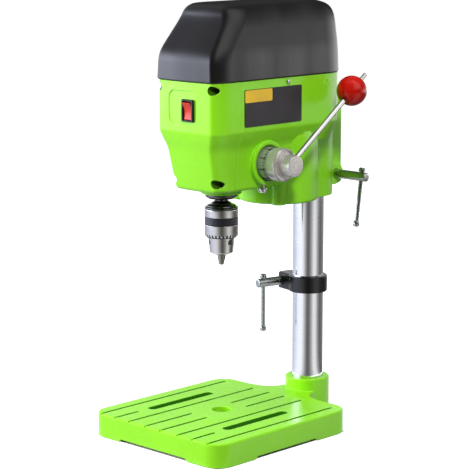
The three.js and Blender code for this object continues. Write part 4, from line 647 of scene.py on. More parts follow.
def collarMesh():
    c = collar
    turnLug = along("z", (0, throat, c["bottom"])) @ Matrix.Rotation(math.radians(c["turn"]), 4, "Z")
    half, lug, nose, h = c["half"], c["lug"], c["nose"], c["height"]

    def lugRing(inset, z):
        points = [(0, -half + inset), (0, half - inset), (-lug + nose, half - inset), (-lug + inset, half - nose),
                  (-lug + inset, -half + nose), (-lug + nose, -half + inset)]
        return [(x, y, z) for x, y in points]

    lugBlock = loft([lugRing(1, 0), lugRing(0, 1), lugRing(0, h - 1), lugRing(1, h)])
    bmesh.ops.recalc_face_normals(lugBlock, faces=lugBlock.faces)
    ring = lathe([(0, 0), (c["ring"], 0, 1), (c["ring"], h, 1), (0, h)], 0.5, 128)
    mesh = carved("collarLook", ring, [
        ("UNION", lugBlock),
        ("DIFFERENCE", bar(c["bore"], -past, h + past, None, 96)),
        ("DIFFERENCE", boxOf((-lug - past, 0), (-c["slit"] / 2, c["slit"] / 2), (-past, h + past))),
        ("DIFFERENCE", bar(c["screwHole"], -30, 14.3, along("y", (-c["screwAt"], 0, h / 2)), 48)),
    ], move=False)
    mesh.transform(toFrame @ turnLug)
    return mesh


asPiece("collarLook", collarMesh(), "collarBlack", "collar", ["stop_collar"])

# Clamp screws with their sliding bars
clamp = {"radius": 4.7, "bar": 2.1, "length": 61, "end": 3.5, "head": 4.4, "foot": 6.4, "hole": 2.4}


def clampPieces(name, hold, reach, barAt, turn, screwBody, barBody, screwNode, barNode):
    c = clamp
    r, top = c["radius"], c["radius"] + gap + c["head"]
    screw = carved(name + "Screw", lathe([(0, -hold), (r, -hold, 1.2), (r, reach, 1.4), (0, reach)], 0.4, 64), [
        ("DIFFERENCE", bar(c["hole"], -9, 9, along("y", (0, 0, barAt)), 32)),
    ], move=False)
    screw.transform(toFrame @ turn @ along("y"))
    asPiece(name + "Screw", screw, "zincSteel", screwBody, [screwNode])
    low, foot = top - c["length"], top - c["length"] + c["foot"]
    profile = [(0, low), (1.6, low, 0.4), (3.1, low + 1, 0.8), (c["end"], low + 3.2, 1.5), (3.1, foot - 0.9, 0.8),
               (c["bar"], foot, 0.4), (c["bar"], top - c["head"], 0.2), (c["end"], top - c["head"] + 0.4, 0.4),
               (c["end"], top - 1, 0.8), (2.4, top, 0.5), (0, top)]
    barMesh = latheMesh(name + "Bar", profile, 0.3, 48, turn @ Matrix.Translation((0, barAt, 0)))
    asPiece(name + "Bar", barMesh, "zincSteel", barBody, [barNode])


collarTurn = along("z", (0, throat, collar["bottom"] + collar["height"] / 2))
collarTurn = collarTurn @ Matrix.Rotation(math.radians(collar["turn"]), 4, "Z")
collarTurn = collarTurn @ Matrix.Translation((-collar["screwAt"], 0, 0)) @ Matrix.Rotation(math.pi, 4, "Z")
clampPieces("collar", 14, 48, 41, collarTurn, "collar_screw", "collar_bar", "stop_collar_screw", "stop_collar_bar")
headTurn = Matrix.Translation((0, throat + 25, headLift + 20)) @ Matrix.Rotation(math.radians(-8.5), 4, "X")
headTurn = headTurn @ Matrix.Rotation(-math.pi / 2, 4, "Z")
clampPieces("head", 14, 57, 50, headTurn, "clamp_screw", "clamp_bar", "head_clamp_screw", "head_clamp_bar")
report("column, collar and clamps")

# Head: the casting and the front shell come from one skin, in heights over the casting's underside
head = {"half": 42, "front": -50, "rear": 22, "corner": 9, "cornerLength": 21.5, "bow": 1.6, "wall": 3.5,
        "deck": 128, "breakTop": 79, "breakBottom": 63, "step": 6.5, "stepFront": 4.5, "midShare": 0.45,
        "nose": 21, "noseHalf": 33.5, "noseFront": -36.5, "lowerRear": 66, "seam": -14}
bay = {"at": 82, "inner": 36.5, "wall": 4, "edge": 3.2, "post": 7, "postIn": 1.6, "postAngle": 44, "top": 71}
feed = {"back": 26, "lift": 46, "boss": 22, "out": 40, "recess": 17, "floor": 35.5, "tunnel": 15.5}
sleeveSizes = {"radius": 24.4, "top": 84, "bore": 16.3}
ear = {"half": 9, "rear": 40, "top": 102, "slit": 1.5, "slitTop": 98, "boss": 11, "bossOut": 16, "back": 25, "lift": 20}


def headSection(row, inset, rear=None):
    z, half, front, corner, length = row
    back = throat + head["rear"] - (head["half"] - half) - inset if rear is None else rear
    round = half - inset if rear is None else 0.4
    points = outline(half - inset, front + inset, back, corner - inset / 2, length - inset / 2, round, head["bow"])
    return [(x, y, z) for x, y in points]


def headSkin(inset, bottom, split, top):
    h = head
    corner, length = h["corner"], h["cornerLength"]
    foot = [(bottom, h["noseHalf"] - 1.6, h["noseFront"] + 1.6, corner, length)] if not inset else []
    rows = [
        *foot,
        (bottom + (0 if inset else 1.8), h["noseHalf"], h["noseFront"], corner, length),
        (split, h["half"] - h["step"], h["front"] + h["stepFront"], corner, length),
        ((h["breakTop"] + h["breakBottom"] + inset) / 2, h["half"] - h["step"] * h["midShare"],
         h["front"] + h["stepFront"] * h["midShare"], corner, length),
        (h["breakTop"] + inset / 2, h["half"], h["front"], corner, length),
        (top, h["half"], h["front"], corner, length),
    ]
    reaches = [1.4, 5, 3, 1.6] if not inset else [5, 3, 1.6]
    smooth = softened(rows, reaches)
    below = [headSection(row, inset, h["lowerRear"]) for row in smooth if row[0] < split]
    above = [headSection(row, inset) for row in smooth if row[0] > split]
    at = [(smooth[i][0], row) for i, row in enumerate(smooth) if row[0] < split][-1]
    return loft([*below, [(x, y, at[0] + 0.02) for x, y, z in headSection(at[1], inset)], *above])


def towerBars(radius, low, high, sides=48):
    return [bar(radius, low, high, along("y", (side * x, 0, z)), sides) for x, z in towers for side in (-1, 1)]


def headHollow(towers=False):
    inside = headSkin(head["wall"], head["nose"] + 4, head["breakBottom"] + head["wall"], head["deck"] + past)
    if not towers:
        return inside
    return carved("hollow", inside, [("DIFFERENCE", seat) for seat in towerBars(5.6, -60, 10)], move=False)


def castingMesh():
    h, b, e, f, s = head, bay, ear, feed, sleeveSizes
    outer, top, r = b["inner"] + b["wall"], b["top"], s["radius"]
    drumAt, shaftAt = along("z", (0, b["at"], 0)), along("x", (0, f["back"], f["lift"]))
    clampAt = along("x", (0, throat + e["back"], e["lift"]))
    drum = lathe([(0, 0), (outer, 0, b["edge"]), (outer, top - 6, 4), (outer - 1, top + 4, 4), (outer - 5, top + 9, 2),
                  (0, top + 9)], 0.2, 160, drumAt)
    turn = math.radians(b["postAngle"])
    reach = outer - b["postIn"]
    posts = [
        lathe([(0, 0), (b["post"], 0, 1.4), (b["post"], 35), (0, 35)], 0.2, 64,
              along("z", (side * reach * math.sin(turn), b["at"] - reach * math.cos(turn), 0)))
        for side in (-1, 1)
    ]
    bossProfile = [(0, 29), (f["boss"] + 1.6, 29), (f["boss"], 33, 2), (f["boss"], f["out"], 1.2),
                   (f["recess"] + 1.2, f["out"], 0.8), (f["recess"], f["out"] - 1.2, 0.6), (f["recess"], f["floor"]),
                   (0, f["floor"])]
    out = e["bossOut"]
    ears = [
        boxOf((-e["half"], e["half"]), (throat, throat + e["rear"]), (9, e["top"])),
        lathe([(0, -out), (e["boss"], -out, 1.2), (e["boss"], out, 1.2), (0, out)], 0.3, 64, clampAt),
        boxOf((-out, out), (throat, throat + 25), (9, 31)),
        boxOf((-out + 0.1, out - 0.1), (throat + 25, throat + 33), (12, 28)),
    ]
    slit = (-e["slit"], e["slit"])
    return carved("castingLook", headSkin(0, h["nose"], h["breakBottom"], h["deck"]), [
        ("DIFFERENCE", headHollow()),
        ("INTERSECT", boxOf((-60, 60), (h["seam"], 160), (-past, 140))),
        ("UNION", drum),
        *[("UNION", post) for post in posts],
        ("DIFFERENCE", bar(b["inner"], 4, 112, drumAt, 96)),
        ("DIFFERENCE", bar(b["inner"] + 2.5, -past, 3, drumAt, 96)),
        ("DIFFERENCE", bar(b["inner"], 2, 5, drumAt, 96)),
        ("UNION", boxOf((-39.9, 39.9), (h["seam"], 106), (116, 120))),
        ("UNION", lathe([(0, 15), (20, 15, 1), (20, 76), (0, 76)], 0.3, 96)),
        ("UNION", lathe(bossProfile, 0.3, 128, shaftAt)),
        ("UNION", bar(f["tunnel"], -33, 33, shaftAt)),
        ("UNION", lathe([(0, 0), (r, 0, 1), (r, s["top"]), (0, s["top"])], 0.3, 96, columnAt)),
        ("UNION", boxOf((-r, r), (throat - r, throat), (0.01, s["top"] - 0.1))),
        *[("UNION", part) for part in ears],
        ("DIFFERENCE", bar(s["bore"], -past, h["deck"] + past, columnAt, 96)),
        ("DIFFERENCE", boxOf(slit, (throat, throat + e["rear"] + past), (-past, h["breakBottom"] - past))),
        ("DIFFERENCE", boxOf(slit, (throat + 22.5, throat + e["rear"] + past), (-past, e["slitTop"]))),
        ("DIFFERENCE", bar(5.0, -14.7, 17, clampAt, 48)),
        ("DIFFERENCE", bar(16.3, 14, 77, None, 96)),
        ("DIFFERENCE", bar(14.3, 113, 121)),
        ("DIFFERENCE", bar(14, 115, 121, along("z", (0, 74.6, 0)))),
        ("DIFFERENCE", bar(13.7, -43, 6.5, shaftAt)),
        ("DIFFERENCE", bar(6.3, 0, 41, shaftAt)),
        ("DIFFERENCE", bar(6.8, throat, throat + 23, along("y", (-24, 0, 92)), 48)),
        ("DIFFERENCE", bar(2.7, 20, 30.3, along("z", (31, 26, 0)), 32)),
        ("DIFFERENCE", bar(1.8, -43, 43, along("x", (0, 50, 124.4)), 32)),
        *[("DIFFERENCE", hole) for hole in towerBars(2.3, -15, 3, 24)],
    ])


panel = {"left": -21, "right": 33, "low": 86.9, "high": 119.7, "round": 8, "face": 50.2, "slant": 1.45}


def panelCutter():
    left, right, low, high = panel["left"], panel["right"], panel["low"], panel["high"]
    points = roundedBox(left, right, low, high, panel["round"], 10)
    face = [(x, -panel["face"] - panel["slant"] * (x - left) / (right - left), z) for x, z in points]
    build = loft([face, [(x, -60, z) for x, y, z in face]])
    bmesh.ops.recalc_face_normals(build, faces=build.faces)
    return build


def shellMesh():
    h = head
    return carved("shellLook", headSkin(0, h["nose"], h["breakBottom"], h["deck"]), [
        ("DIFFERENCE", headHollow(True)),
        ("INTERSECT", boxOf((-60, 60), (-60, h["seam"] - gap), (h["nose"] - past, h["deck"] + past))),
        ("DIFFERENCE", panelCutter()),
        ("DIFFERENCE", bar(20.3, 0, 26, None, 96)),
        *[("DIFFERENCE", recess) for recess in towerBars(4.4, -60, -23)],
        *[("DIFFERENCE", hole) for hole in towerBars(2.3, -24, -13, 24)],
        ("DIFFERENCE", boxOf((-0.4, 13.8), (-60, -45), (91.2, 110.8))),
    ])


for name, mesh, node in (("castingLook", castingMesh(), "head_casting"), ("shellLook", shellMesh(), "front_shell")):
    mesh.transform(Matrix.Translation((0, 0, headLift / 1000)))
    asPiece(name, mesh, "headGreen", "head", [node])
report("head")

# Screws in the shell's recesses, in pairs that mirror each other
panHead = [(0, -22), (2, -22), (2, 0, 0.1), (3.7, 0, 0.4), (3.7, 1.1, 0.5), (2.4, 2.3, 0.8), (0, 2.5)]


def crossScrew(profile, slotWide, slotHalf, depth, top):
    cross = [("DIFFERENCE", boxOf((-x, x), (-y, y), (top - depth, top + past)))
             for x, y in ((slotWide, slotHalf), (slotHalf, slotWide))]
    return carved("screw", lathe(profile, 0.3, 40), cross, move=False)


def asBuild(mesh, matrix):
    build = bmesh.new()
    build.from_mesh(mesh)
    build.transform(matrix)
    return build


screwAt = along("y") @ Matrix.Rotation(math.pi, 4, "X")
screwMesh = crossScrew(panHead, 2.1, 0.42, 1.4, 2.5)
for level, (x, z) in zip(("upper", "lower"), towers):
    spot = Matrix.Translation((-x, -23.3, headLift + z))
    build = asBuild(screwMesh, spot @ screwAt @ Matrix.Rotation(0.5, 4, "Z"))
    pair = rowShaper.apply(level + "ShellScrews", build, "zincSteel", Count=2, Step=(2 * x, 0, 0))
    pair.transform(toFrame)
    asPiece(level + "ShellScrews", pair, "zincSteel", "head",
            [f"shell_screw_{level}_left", f"shell_screw_{level}_right"])

coverHead = [(0, -9), (1.5, -9), (1.5, 0, 0.1), (2.6, 0, 0.3), (2.6, 0.9, 0.4), (1.6, 1.9, 0.6), (0, 2)]
small = crossScrew(coverHead, 1.5, 0.3, 1.1, 2)
for side, node in ((-1, "cover_screw_left"), (1, "cover_screw_right")):
    turnOut = Matrix.Translation((side * 42.3, 50, 353.4)) @ Matrix.Rotation(side * math.pi / 2, 4, "Y")
    mesh = asMesh("coverScrew", asBuild(small, toFrame @ turnOut))
    asPiece("coverScrewLeft" if side < 0 else "coverScrewRight", mesh, "brightSteel", "head", [node])
lockHead = [(0, -9), (2.4, -9), (2.4, 0, 0.1), (4.8, 0, 0.4), (4.8, 2.6, 0.8), (3.4, 4.8, 1.2), (0, 5)]
lockAt = Matrix.Translation((31, 26, 249.7)) @ Matrix.Rotation(math.pi, 4, "X")
asPiece("lockScrew", asMesh("lockScrew", asBuild(crossScrew(lockHead, 3, 0.6, 2, 5), toFrame @ lockAt)),
        "brightSteel", "head", ["feed_lock_screw"])

# Top cover
cover = {"base": 357.3, "half": 43.4, "front": -51.4, "rear": 150.9, "corner": 9, "cornerLength": 21.5, "wall": 2.6}
coverRows = [  # height, draft of the sides, of the front, of the rear
    (0, 1.1, 1.1, 1.1), (1.1, 0, 0, 0), (26, 0.8, 0.8, 1), (58, 5, 24.5, 4.5), (68, 8, 27, 12), (72.5, 12, 33, 30),
    (72.5, 20, 44, 40),
]


def coverSkin(inset, drop):
    c = cover
    rings = []
    for z, draft, slope, back in softened(coverRows, [0.3, 9, 10, 6, 3], 8):
        half = c["half"] - draft - inset
        round = c["corner"] + draft / 2 - inset / 2
        length = c["cornerLength"] + draft / 2 - inset / 2
        front, rear = c["front"] + slope + inset, c["rear"] - back - inset
        level = c["base"] + (z - inset if z > drop else -past * bool(inset))
        rings.append([(x, y, level) for x, y in outline(half, front, rear, round, length, half, head["bow"], 16)])
    return loft(rings)


coverMesh = carved("coverLook", coverSkin(0, -1), [
    ("DIFFERENCE", coverSkin(cover["wall"], 3)),
    ("DIFFERENCE", bar(1.8, -46, 46, along("x", (0, 50, 353.4)), 24)),
])
asPiece("coverLook", coverMesh, "coverBlack", "head", ["top_cover"])
report("cover")

# Bare plate on the right side
plate = {"from": (-11, 313), "to": (70, 349), "face": 42.5, "fieldFrom": (-10.4, 336.4), "fieldTo": (27.5, 348.4),
         "fieldFace": 42.7, "round": 1.6}


def plateMesh(name, start, end, x0, x1):
    points = roundedBox(start[0], end[0], start[1], end[1], plate["round"])
    build = loft([[(x, y, z) for y, z in points] for x in (x0, x1)])
    build.transform(toFrame)
    return asMesh(name, build)


asPiece("sidePlate", plateMesh("sidePlate", plate["from"], plate["to"], 41.9, plate["face"]), "labelBlack", "head")
field = plateMesh("sidePlateField", plate["fieldFrom"], plate["fieldTo"], 42.3, plate["fieldFace"])
asPiece("sidePlateField", field, "labelYellow", "head")

ringMark = [(2.5, 41.6), (3.3, 41.6), (3.3, 42.35, 0.2), (2.5, 42.35, 0.2)]
asPiece("sideMark", latheMesh("sideMark", ringMark, 0.1, 48, along("x", (0, 107, 348.5))), "headGreen", "head")

# Switch
switch = {"x": 6.7, "z": 330, "face": -51.6, "thick": 2.4, "width": 16.4, "height": 21.6, "rocker": 11, "tall": 16.6}


def switchMesh():
    s = switch
    x, z, face = s["x"], s["z"], s["face"]

    def rim(half, tall, round, y):
        return [(px, y, pz) for px, pz in roundedBox(x - half, x + half, z - tall, z + tall, round)]

    w, h, t = s["width"] / 2, s["height"] / 2, s["thick"]
    outer = loft([rim(w, h, 1.2, face), rim(w, h, 1.2, face - t + 0.9), rim(w - 0.9, h - 0.9, 1, face - t)])
    bmesh.ops.recalc_face_normals(outer, faces=outer.faces)
    return carved("switchLook", outer, [
        ("UNION", boxOf((x - 6.8, x + 6.8), (face - 1, face + 15), (z - 9.5, z + 9.5))),
        ("DIFFERENCE", boxOf((x - 5.95, x + 5.95), (face - t - past, face + 8), (z - 9.2, z + 9.2))),
    ])


asPiece("switchLook", switchMesh(), "switchBlack", "head", ["switch_body"])


def rockerMesh():
    s = switch
    half, deep, valley, rise = s["tall"] / 2, 4.6, -1.0, -2.9
    curve = []
    for side in (-1, 1):
        part = []
        for i in range(9):
            t = i / 8
            u = half * ((1 - t) ** 2 + t * (1 - t))
            v = rise * (1 - t) ** 2 + valley * 2 * t * (1 - t) + valley * t * t
            part.append((side * u, v))
        curve += part if side < 0 else part[::-1][1:]
    profile = [*curve, (half - 1, deep), (-half + 1, deep)]
    wide, lip = s["rocker"] / 2, 0.4
    rings = [[(x, v + (drop if v < 3 else 0), u) for u, v in profile]
             for x, drop in ((-wide + lip, lip), (-wide, 0), (wide, 0), (wide - lip, lip))]
    build = loft(rings)
    bmesh.ops.recalc_face_normals(build, faces=build.faces)
    turn = Matrix.Translation((s["x"], s["face"] + 0.4, s["z"])) @ Matrix.Rotation(math.radians(9), 4, "X")
    build.transform(toFrame @ turn)
    return asMesh("rockerLook", build)


asPiece("rockerLook", rockerMesh(), "rockerRed", "rocker", ["switch_rocker"])
report("switch and plate")

# Quill, spindle end and keyed chuck, in heights over the floor
quillProfile = [(8, 239), (13, 239, 0.6), (16, 241, 1.2), (16, 313), (11.4, 313), (11.4, 241.5), (8, 241.5)]
asPiece("quillLook", latheMesh("quillLook", quillProfile, 0.2, 128), "quillSteel", "quill", ["quill"])
capProfile = [(7.2, 229.1), (16.5, 229.1, 0.3), (16.5, 230.7, 0.6), (14.7, 231.2, 0.2), (14.2, 232.6, 0.7),
              (10.6, 233.4, 0.3), (9.8, 234.9, 0.7), (7.6, 235.8, 0.5), (7.2, 236.6, 0.3), (6.4, 236.6), (6.4, 229.1)]
asPiece("chuckCapLook", latheMesh("chuckCapLook", capProfile, 0.5), "chuckBlack", "spindle",
        ["chuck_cap"])

chuck = {"top": 228.8, "shoulder": 221.1, "tip": 182.6, "body": 13, "tipRadius": 11.6, "rim": 16.7, "bore": 5.2,
         "nutLow": 201.3, "nutHigh": 207.5, "groove": 9.1, "slant": 14, "jaw": 3.4, "jawSlot": 3.7,
         "jawTip": 172.4, "keyAt": 196, "keyHole": 3.1}


def jawBar(radius, low, high, turn, sides=48):
    c = chuck
    tilt = math.radians(c["slant"])
    matrix = Matrix.Rotation(turn, 4, "Z") @ Matrix.Translation((2.1 - c["jaw"] / math.cos(tilt), 0, c["jawTip"]))
    return bar(radius, low, high, matrix @ Matrix.Rotation(tilt, 4, "Y"), sides)


def chuckMesh():
    c = chuck
    tip, top, shoulder = c["tip"], c["top"], c["shoulder"]
    body, rim, low, high = c["body"], c["rim"], c["nutLow"], c["nutHigh"]
    profile = [(c["bore"], tip, 0.4), (6.2, tip, 0.4), (c["tipRadius"], tip + 2.5, 0.7), (body, 199.6, 0.1),
               (body, low), (c["groove"], low), (c["groove"], high), (body, high), (body, shoulder),
               (rim, shoulder, 0.3), (rim, top, 0.7), (6.1, top), (5.4, 216), (0, 216), (0, 213), (5.2, 213)]
    jaws = [jawBar(c["jawSlot"], -34, 46, math.pi * (2 * i + 1) / 3, 40) for i in range(3)]
    keyBar = bar(c["keyHole"], 8.6, 15, along("x", (0, 0, c["keyAt"])), 40)
    keys = ringShaper.apply("keys", keyBar, "chuckSteel", Count=3, Start=2 * math.pi / 3)
    return carved("chuckLook", lathe(profile, 0.15, 128), [
        *[("DIFFERENCE", jaw) for jaw in jaws], ("DIFFERENCE", keys),
    ])


asPiece("chuckLook", chuckMesh(), "chuckSteel", "spindle", ["chuck_body"])
# Painted shade: a dark plug at the inner end of each key hole
keyHoleShade = bar(chuck["keyHole"] + 0.1, 9, 12.3, along("x", (0, 0, chuck["keyAt"])), 40)
keyEnds = ringShaper.apply("keyEnds", keyHoleShade, "markBlack", Count=3, Start=2 * math.pi / 3)
keyEnds.transform(toFrame)
asPiece("keyEnds", keyEnds, "markBlack", "spindle")

# The sleeve's teeth: one notch, repeated round it
sleeve = {"low": 200.2, "top": 220.8, "radius": 16.7, "teeth": 28, "toothHigh": 4.2, "toothDeep": 2.9, "inner": 13.3,
          "wide": 14.1, "band": 213.2, "bandRadius": 16.5}


def sleeveMesh():
    s = sleeve
    low, r, deep = s["low"], s["radius"], s["toothDeep"]
    band, top = s["band"], s["top"]
    profile = [(s["inner"], low), (r - deep + 0.5, low, 0.2), (r, low + 2.2, 0.3), (r, band - 0.2, 0.2),
               (14.9, band - 0.2), (14.9, top), (s["wide"], top), (s["wide"], 203.5), (s["inner"], 203.5)]
    half = r * math.pi / s["teeth"] * 0.84
    high = low + s["toothHigh"]
    ends = [(-half, low - 1), (half, low - 1), (half * 0.42, high - 0.4), (0, high), (-half * 0.42, high - 0.4)]
    notch = loft([[(x, y, z) for y, z in ends] for x in (r - deep - 0.1, r + 1)])
    notches = ringShaper.apply("notches", notch, "chuckSteel", Count=s["teeth"], Start=0.0)
    return carved("sleeveLook", lathe(profile, 0.1, 168), [("DIFFERENCE", notches)])


asPiece("sleeveLook", sleeveMesh(), "chuckSteel", "chuck_ring", ["chuck_sleeve"])
r, low, top = sleeve["bandRadius"], sleeve["band"], sleeve["top"]
bandProfile = [(15, low), (r, low, 0.4), (r, top, 0.4), (15, top)]
rootProfile = [(13.35, 200.35), (14.9, 200.35), (16, 202), (16.1, 205), (13.35, 205)]  # painted shade: a dark ring between the teeth
asPiece("toothRoots", latheMesh("toothRoots", rootProfile, 0, 96), "markBlack", "chuck_ring")
asPiece("bandLook", latheMesh("bandLook", bandProfile, 0.1, 128), "bandBlack", "chuck_ring",
        ["chuck_band"])


def jawMesh(i):
    c = chuck
    turn = math.pi * (2 * i + 1) / 3
    apex, reach = 0.25 / math.sin(math.pi / 3), 34
    corners = [(apex, 0), (apex + reach * 0.5, -reach * 0.866), (apex + reach * 0.5, reach * 0.866)]
    wedge = loft([[(x, y, z) for x, y in corners] for z in (c["jawTip"], c["jawTip"] + 33.9)])
    wedge.transform(Matrix.Rotation(turn, 4, "Z"))
    return carved(f"jaw{i + 1}Look", jawBar(c["jaw"], -3, 34, turn, 64), [("INTERSECT", wedge)])


for i in range(3):
    asPiece(f"jaw{i + 1}Look", jawMesh(i), "jawSteel", f"jaw_{i + 1}", [f"chuck_jaw_{i + 1}"])
report("quill and chuck")

# Feed: dial, hub, cap, rod and knob
feedAt = along("x", (0, feed["back"], headLift + feed["lift"]))
dialProfile = [(11.9, 36.2), (16.2, 36.2, 0.8), (16.2, 49.6, 0.5), (15.4, 50.2), (11.9, 50.2)]
asPiece("dialLook", latheMesh("dialLook", dialProfile, 0.2, 128, feedAt), "dialSteel", "dial",
        ["depth_dial"])
markBuild = boxOf((16.3, 16.58), (-0.3, 0.3), (46.4, 49.4))
marks = ringShaper.apply("dialMarks", markBuild, "markBlack", Count=36, Start=0.0)
longMark = boxOf((16.3, 16.6), (-0.36, 0.36), (41, 49.4))
longMarks = ringShaper.apply("dialLongMarks", longMark, "markBlack", Count=9, Start=math.radians(5))
for name, mesh in (("dialMarks", marks), ("dialLongMarks", longMarks)):
    mesh.transform(toFrame @ feedAt)
    asPiece(name, mesh, "markBlack", "dial")
hubProfile = [(6.3, 36.2), (11.6, 36.2), (11.6, 50.5), (15.8, 50.5, 0.3), (16.5, 51.2, 0.3), (16.5, 60.4, 0.3),
              (15.4, 62, 0.4), (14.5, 62.3, 0.2), (14, 61, 0.2), (12.2, 61, 0.2), (11.8, 62.3, 0.2), (6.3, 62.3)]
asPiece("hubLook", latheMesh("hubLook", hubProfile, 0.2, 128, feedAt), "hubSteel", "feed",
        ["feed_hub"])
capBody = lathe([(6.3, 61.4), (9.6, 61.4, 0.5), (10.2, 62.6, 0.5), (10.2, 73, 0.4), (10.5, 73.5, 0.4),
                 (10.3, 75.6, 0.8), (0, 75.6), (0, 73.7), (6.3, 73.7)], 0.3, 96, feedAt)
handle = {"x": 67.0, "radius": 2.8, "length": 98, "root": 1.9, "crest": 2.1, "threadLength": 40, "turns": 10,
          "threadAt": 130, "pitch": 0.8, "angle": 36}
handleAt = Matrix.Translation((handle["x"], feed["back"], headLift + feed["lift"]))
handleAt = handleAt @ Matrix.Rotation(math.radians(handle["angle"] - 90), 4, "X")
capMesh = carved("capLook", capBody, [("DIFFERENCE", bar(3.1, 5, 12, handleAt, 40))])
asPiece("capLook", capMesh, "hubSteel", "feed", ["hub_cap"])
r, root, length = handle["radius"], handle["root"], handle["length"]
end = length + handle["threadLength"]
rodProfile = [(0, 6.3), (r, 6.3), (r, length, 0.5), (root, length + 0.1), (root, end, 0.4), (0, end)]
asPiece("rodLook", latheMesh("rodLook", rodProfile, 0.2, 64, handleAt), "brightSteel", "feed",
        ["handle_rod"])
crest = lathe([(root - 0.2, -0.3), (handle["crest"], 0), (root - 0.2, 0.3)], 0.0, 40)
thread = rowShaper.apply("rodThread", crest, "brightSteel", Count=handle["turns"], Step=(0, 0, handle["pitch"]))
thread.transform(toFrame @ handleAt @ Matrix.Translation((0, 0, handle["threadAt"])))
asPiece("rodThread", thread, "brightSteel", "feed")
ball = {"radius": 15.2, "flat": 1.2, "bore": 2.3, "from": 98.3}


def knobProfile():
    b = ball
    centre = b["from"] + b["radius"] - b["flat"]
    first = math.acos((b["radius"] - b["flat"]) / b["radius"])
    last = math.pi - math.asin(b["bore"] / b["radius"])
    angles = [first + (last - first) * i / 40 for i in range(41)]
    points = [(b["radius"] * math.sin(a), centre - b["radius"] * math.cos(a), 0) for a in angles]
    return [(b["bore"], b["from"], 0), *points]


asPiece("knobLook", latheMesh("knobLook", knobProfile(), 0, 96, handleAt), "knobRed", "feed",
        ["handle_knob"], sharp=50)
cupProfile = [(6.3, -10.5), (13.4, -10.5), (13.4, -35.8), (16.4, -35.8, 0.6), (16.4, -47.8, 2.4), (0, -47.8),
              (0, -45.8), (14.4, -45.8), (14.4, -37), (6.3, -37)]
asPiece("springCupLook", latheMesh("springCupLook", cupProfile, 0.2, 96, feedAt), "coverBlack", "head",
        ["spring_cup"])
report("feed")

# The other nodes keep their shapes
plain = {
    "darkSteel": ["return_spring", "motor_body"],
    "insideAlloy": ["pinion_shaft", "motor_shaft", "motor_pulley", "spindle_pulley", "pulley_bearing",
                    "quill_bearing_lower", "quill_bearing_upper", "chuck_nut"],
    "chuckBlack": ["spindle"],
    "coverBlack": ["motor_cover"],
    "rubberBlack": ["drive_belt", "cable_gland"],
}
for look, names in plain.items():
    for name in names:
        mesh = nodes[name].data
        mesh.materials.clear()
        mesh.materials.append(looks[look])

# Floor: white to the camera and in reflections, with the drill's soft shadow kept
room = {"floorHalf": 6.0, "glow": 0.74, "lit": 0.6, "bounce": 0.2, "ambient": 0.34}


def seenRay(board):
    ray = board.tree.nodes.new("ShaderNodeLightPath")
    seen = [Value(board, ray.outputs[key]) for key in ("Is Camera Ray", "Is Glossy Ray", "Is Transmission Ray")]
    return board.node("ShaderNodeMath", {"operation": "ADD", "use_clamp": True}, {0: seen[0] + seen[1], 1: seen[2]})


half = room["floorHalf"]
floorMesh = bpy.data.meshes.new("floor")
floorMesh.from_pydata([(-half, -half, 0), (half, -half, 0), (half, half, 0), (-half, half, 0)], [], [(0, 1, 2, 3)])
floor = bpy.data.objects.new("floor", floorMesh)
bpy.context.scene.collection.objects.link(floor)
paper = Finish("paper", (room["lit"],) * 3, 0.8)
floorMesh.materials.append(paper.material)
plainPaper = Value(paper, paper.shader.outputs[0])
under = paper.inside((-87, -129, -1), (87, 54.5, 1))
glow = paper.node("ShaderNodeEmission", None, {"Strength": (1 - under) * room["glow"]})
bright = paper.node("ShaderNodeAddShader", None, {0: glow, 1: plainPaper})
dim = paper.node("ShaderNodeBsdfDiffuse", None, {"Color": (room["bounce"],) * 3 + (1,)})
shown = paper.node("ShaderNodeMixShader", None, {0: seenRay(paper), 1: dim, 2: bright})
paper.feed(paper.tree.nodes["Material Output"].inputs["Surface"], shown)

# A studio that only gloss sees: brightness by azimuth on the ground near the drill and far from it, at three heights
# of the walls and on two dark cards at the rear
studio = {
    "near": [(-140, 0.75), (-86, 0.62), (-58, 0.82), (-37, 1), (-20, 1.1), (-3, 1.05), (12, 0.68), (27, 0.28),
             (41, 0.1), (56, 0.2), (70, 0.45), (85, 0.85), (101, 0.78), (118, 0.33), (138, 0.12), (162, 0.15),
             (185, 0.3), (220, 0.5)],
    "far": [(-140, 0.9), (-80, 1.4), (-60, 2.9), (-30, 2.9), (-12, 0.8), (4, 0.08), (95, 0.05), (112, 0.3), (130, 0.4),
            (150, 0.6), (160, 1.8), (172, 1.8), (184, 0.5), (220, 0.6)],
    "low": [(-140, 0.9), (-80, 2.2), (-60, 5.2), (-30, 5.2), (-12, 0.8), (4, 0.04), (112, 0.04), (126, 1.6),
            (136, 2.6), (170, 2.6), (190, 1.8), (220, 2.2)],
    "mid": [(-140, 0.4), (-80, 2.4), (-60, 7), (-30, 7), (-12, 0.5), (4, 0.04), (112, 0.04), (126, 0.3), (136, 0.5),
            (170, 0.5), (190, 0.6), (220, 0.9)],
    "high": [(-140, 0.15), (-100, 0.35), (-60, 0.4), (-25, 0.3), (-5, 0.1), (55, 0.1), (70, 1.5), (115, 1.5),
             (130, 0.15), (220, 0.15)],
    "flag": [(-140, 0.05), (220, 0.05)],
}
cool = (0.9, 0.95, 1.14)  # tint of what gloss shows from the left


def shadeAt(table, azimuth):
    for (a0, s0), (a1, s1) in zip(table, table[1:]):
        if a0 <= azimuth <= a1:
            shade = s0 + (s1 - s0) * (azimuth - a0) / (a1 - a0)
    return (*(shade * tint for tint in (cool if -90 < azimuth < 0 else (1, 1, 1))), 1)


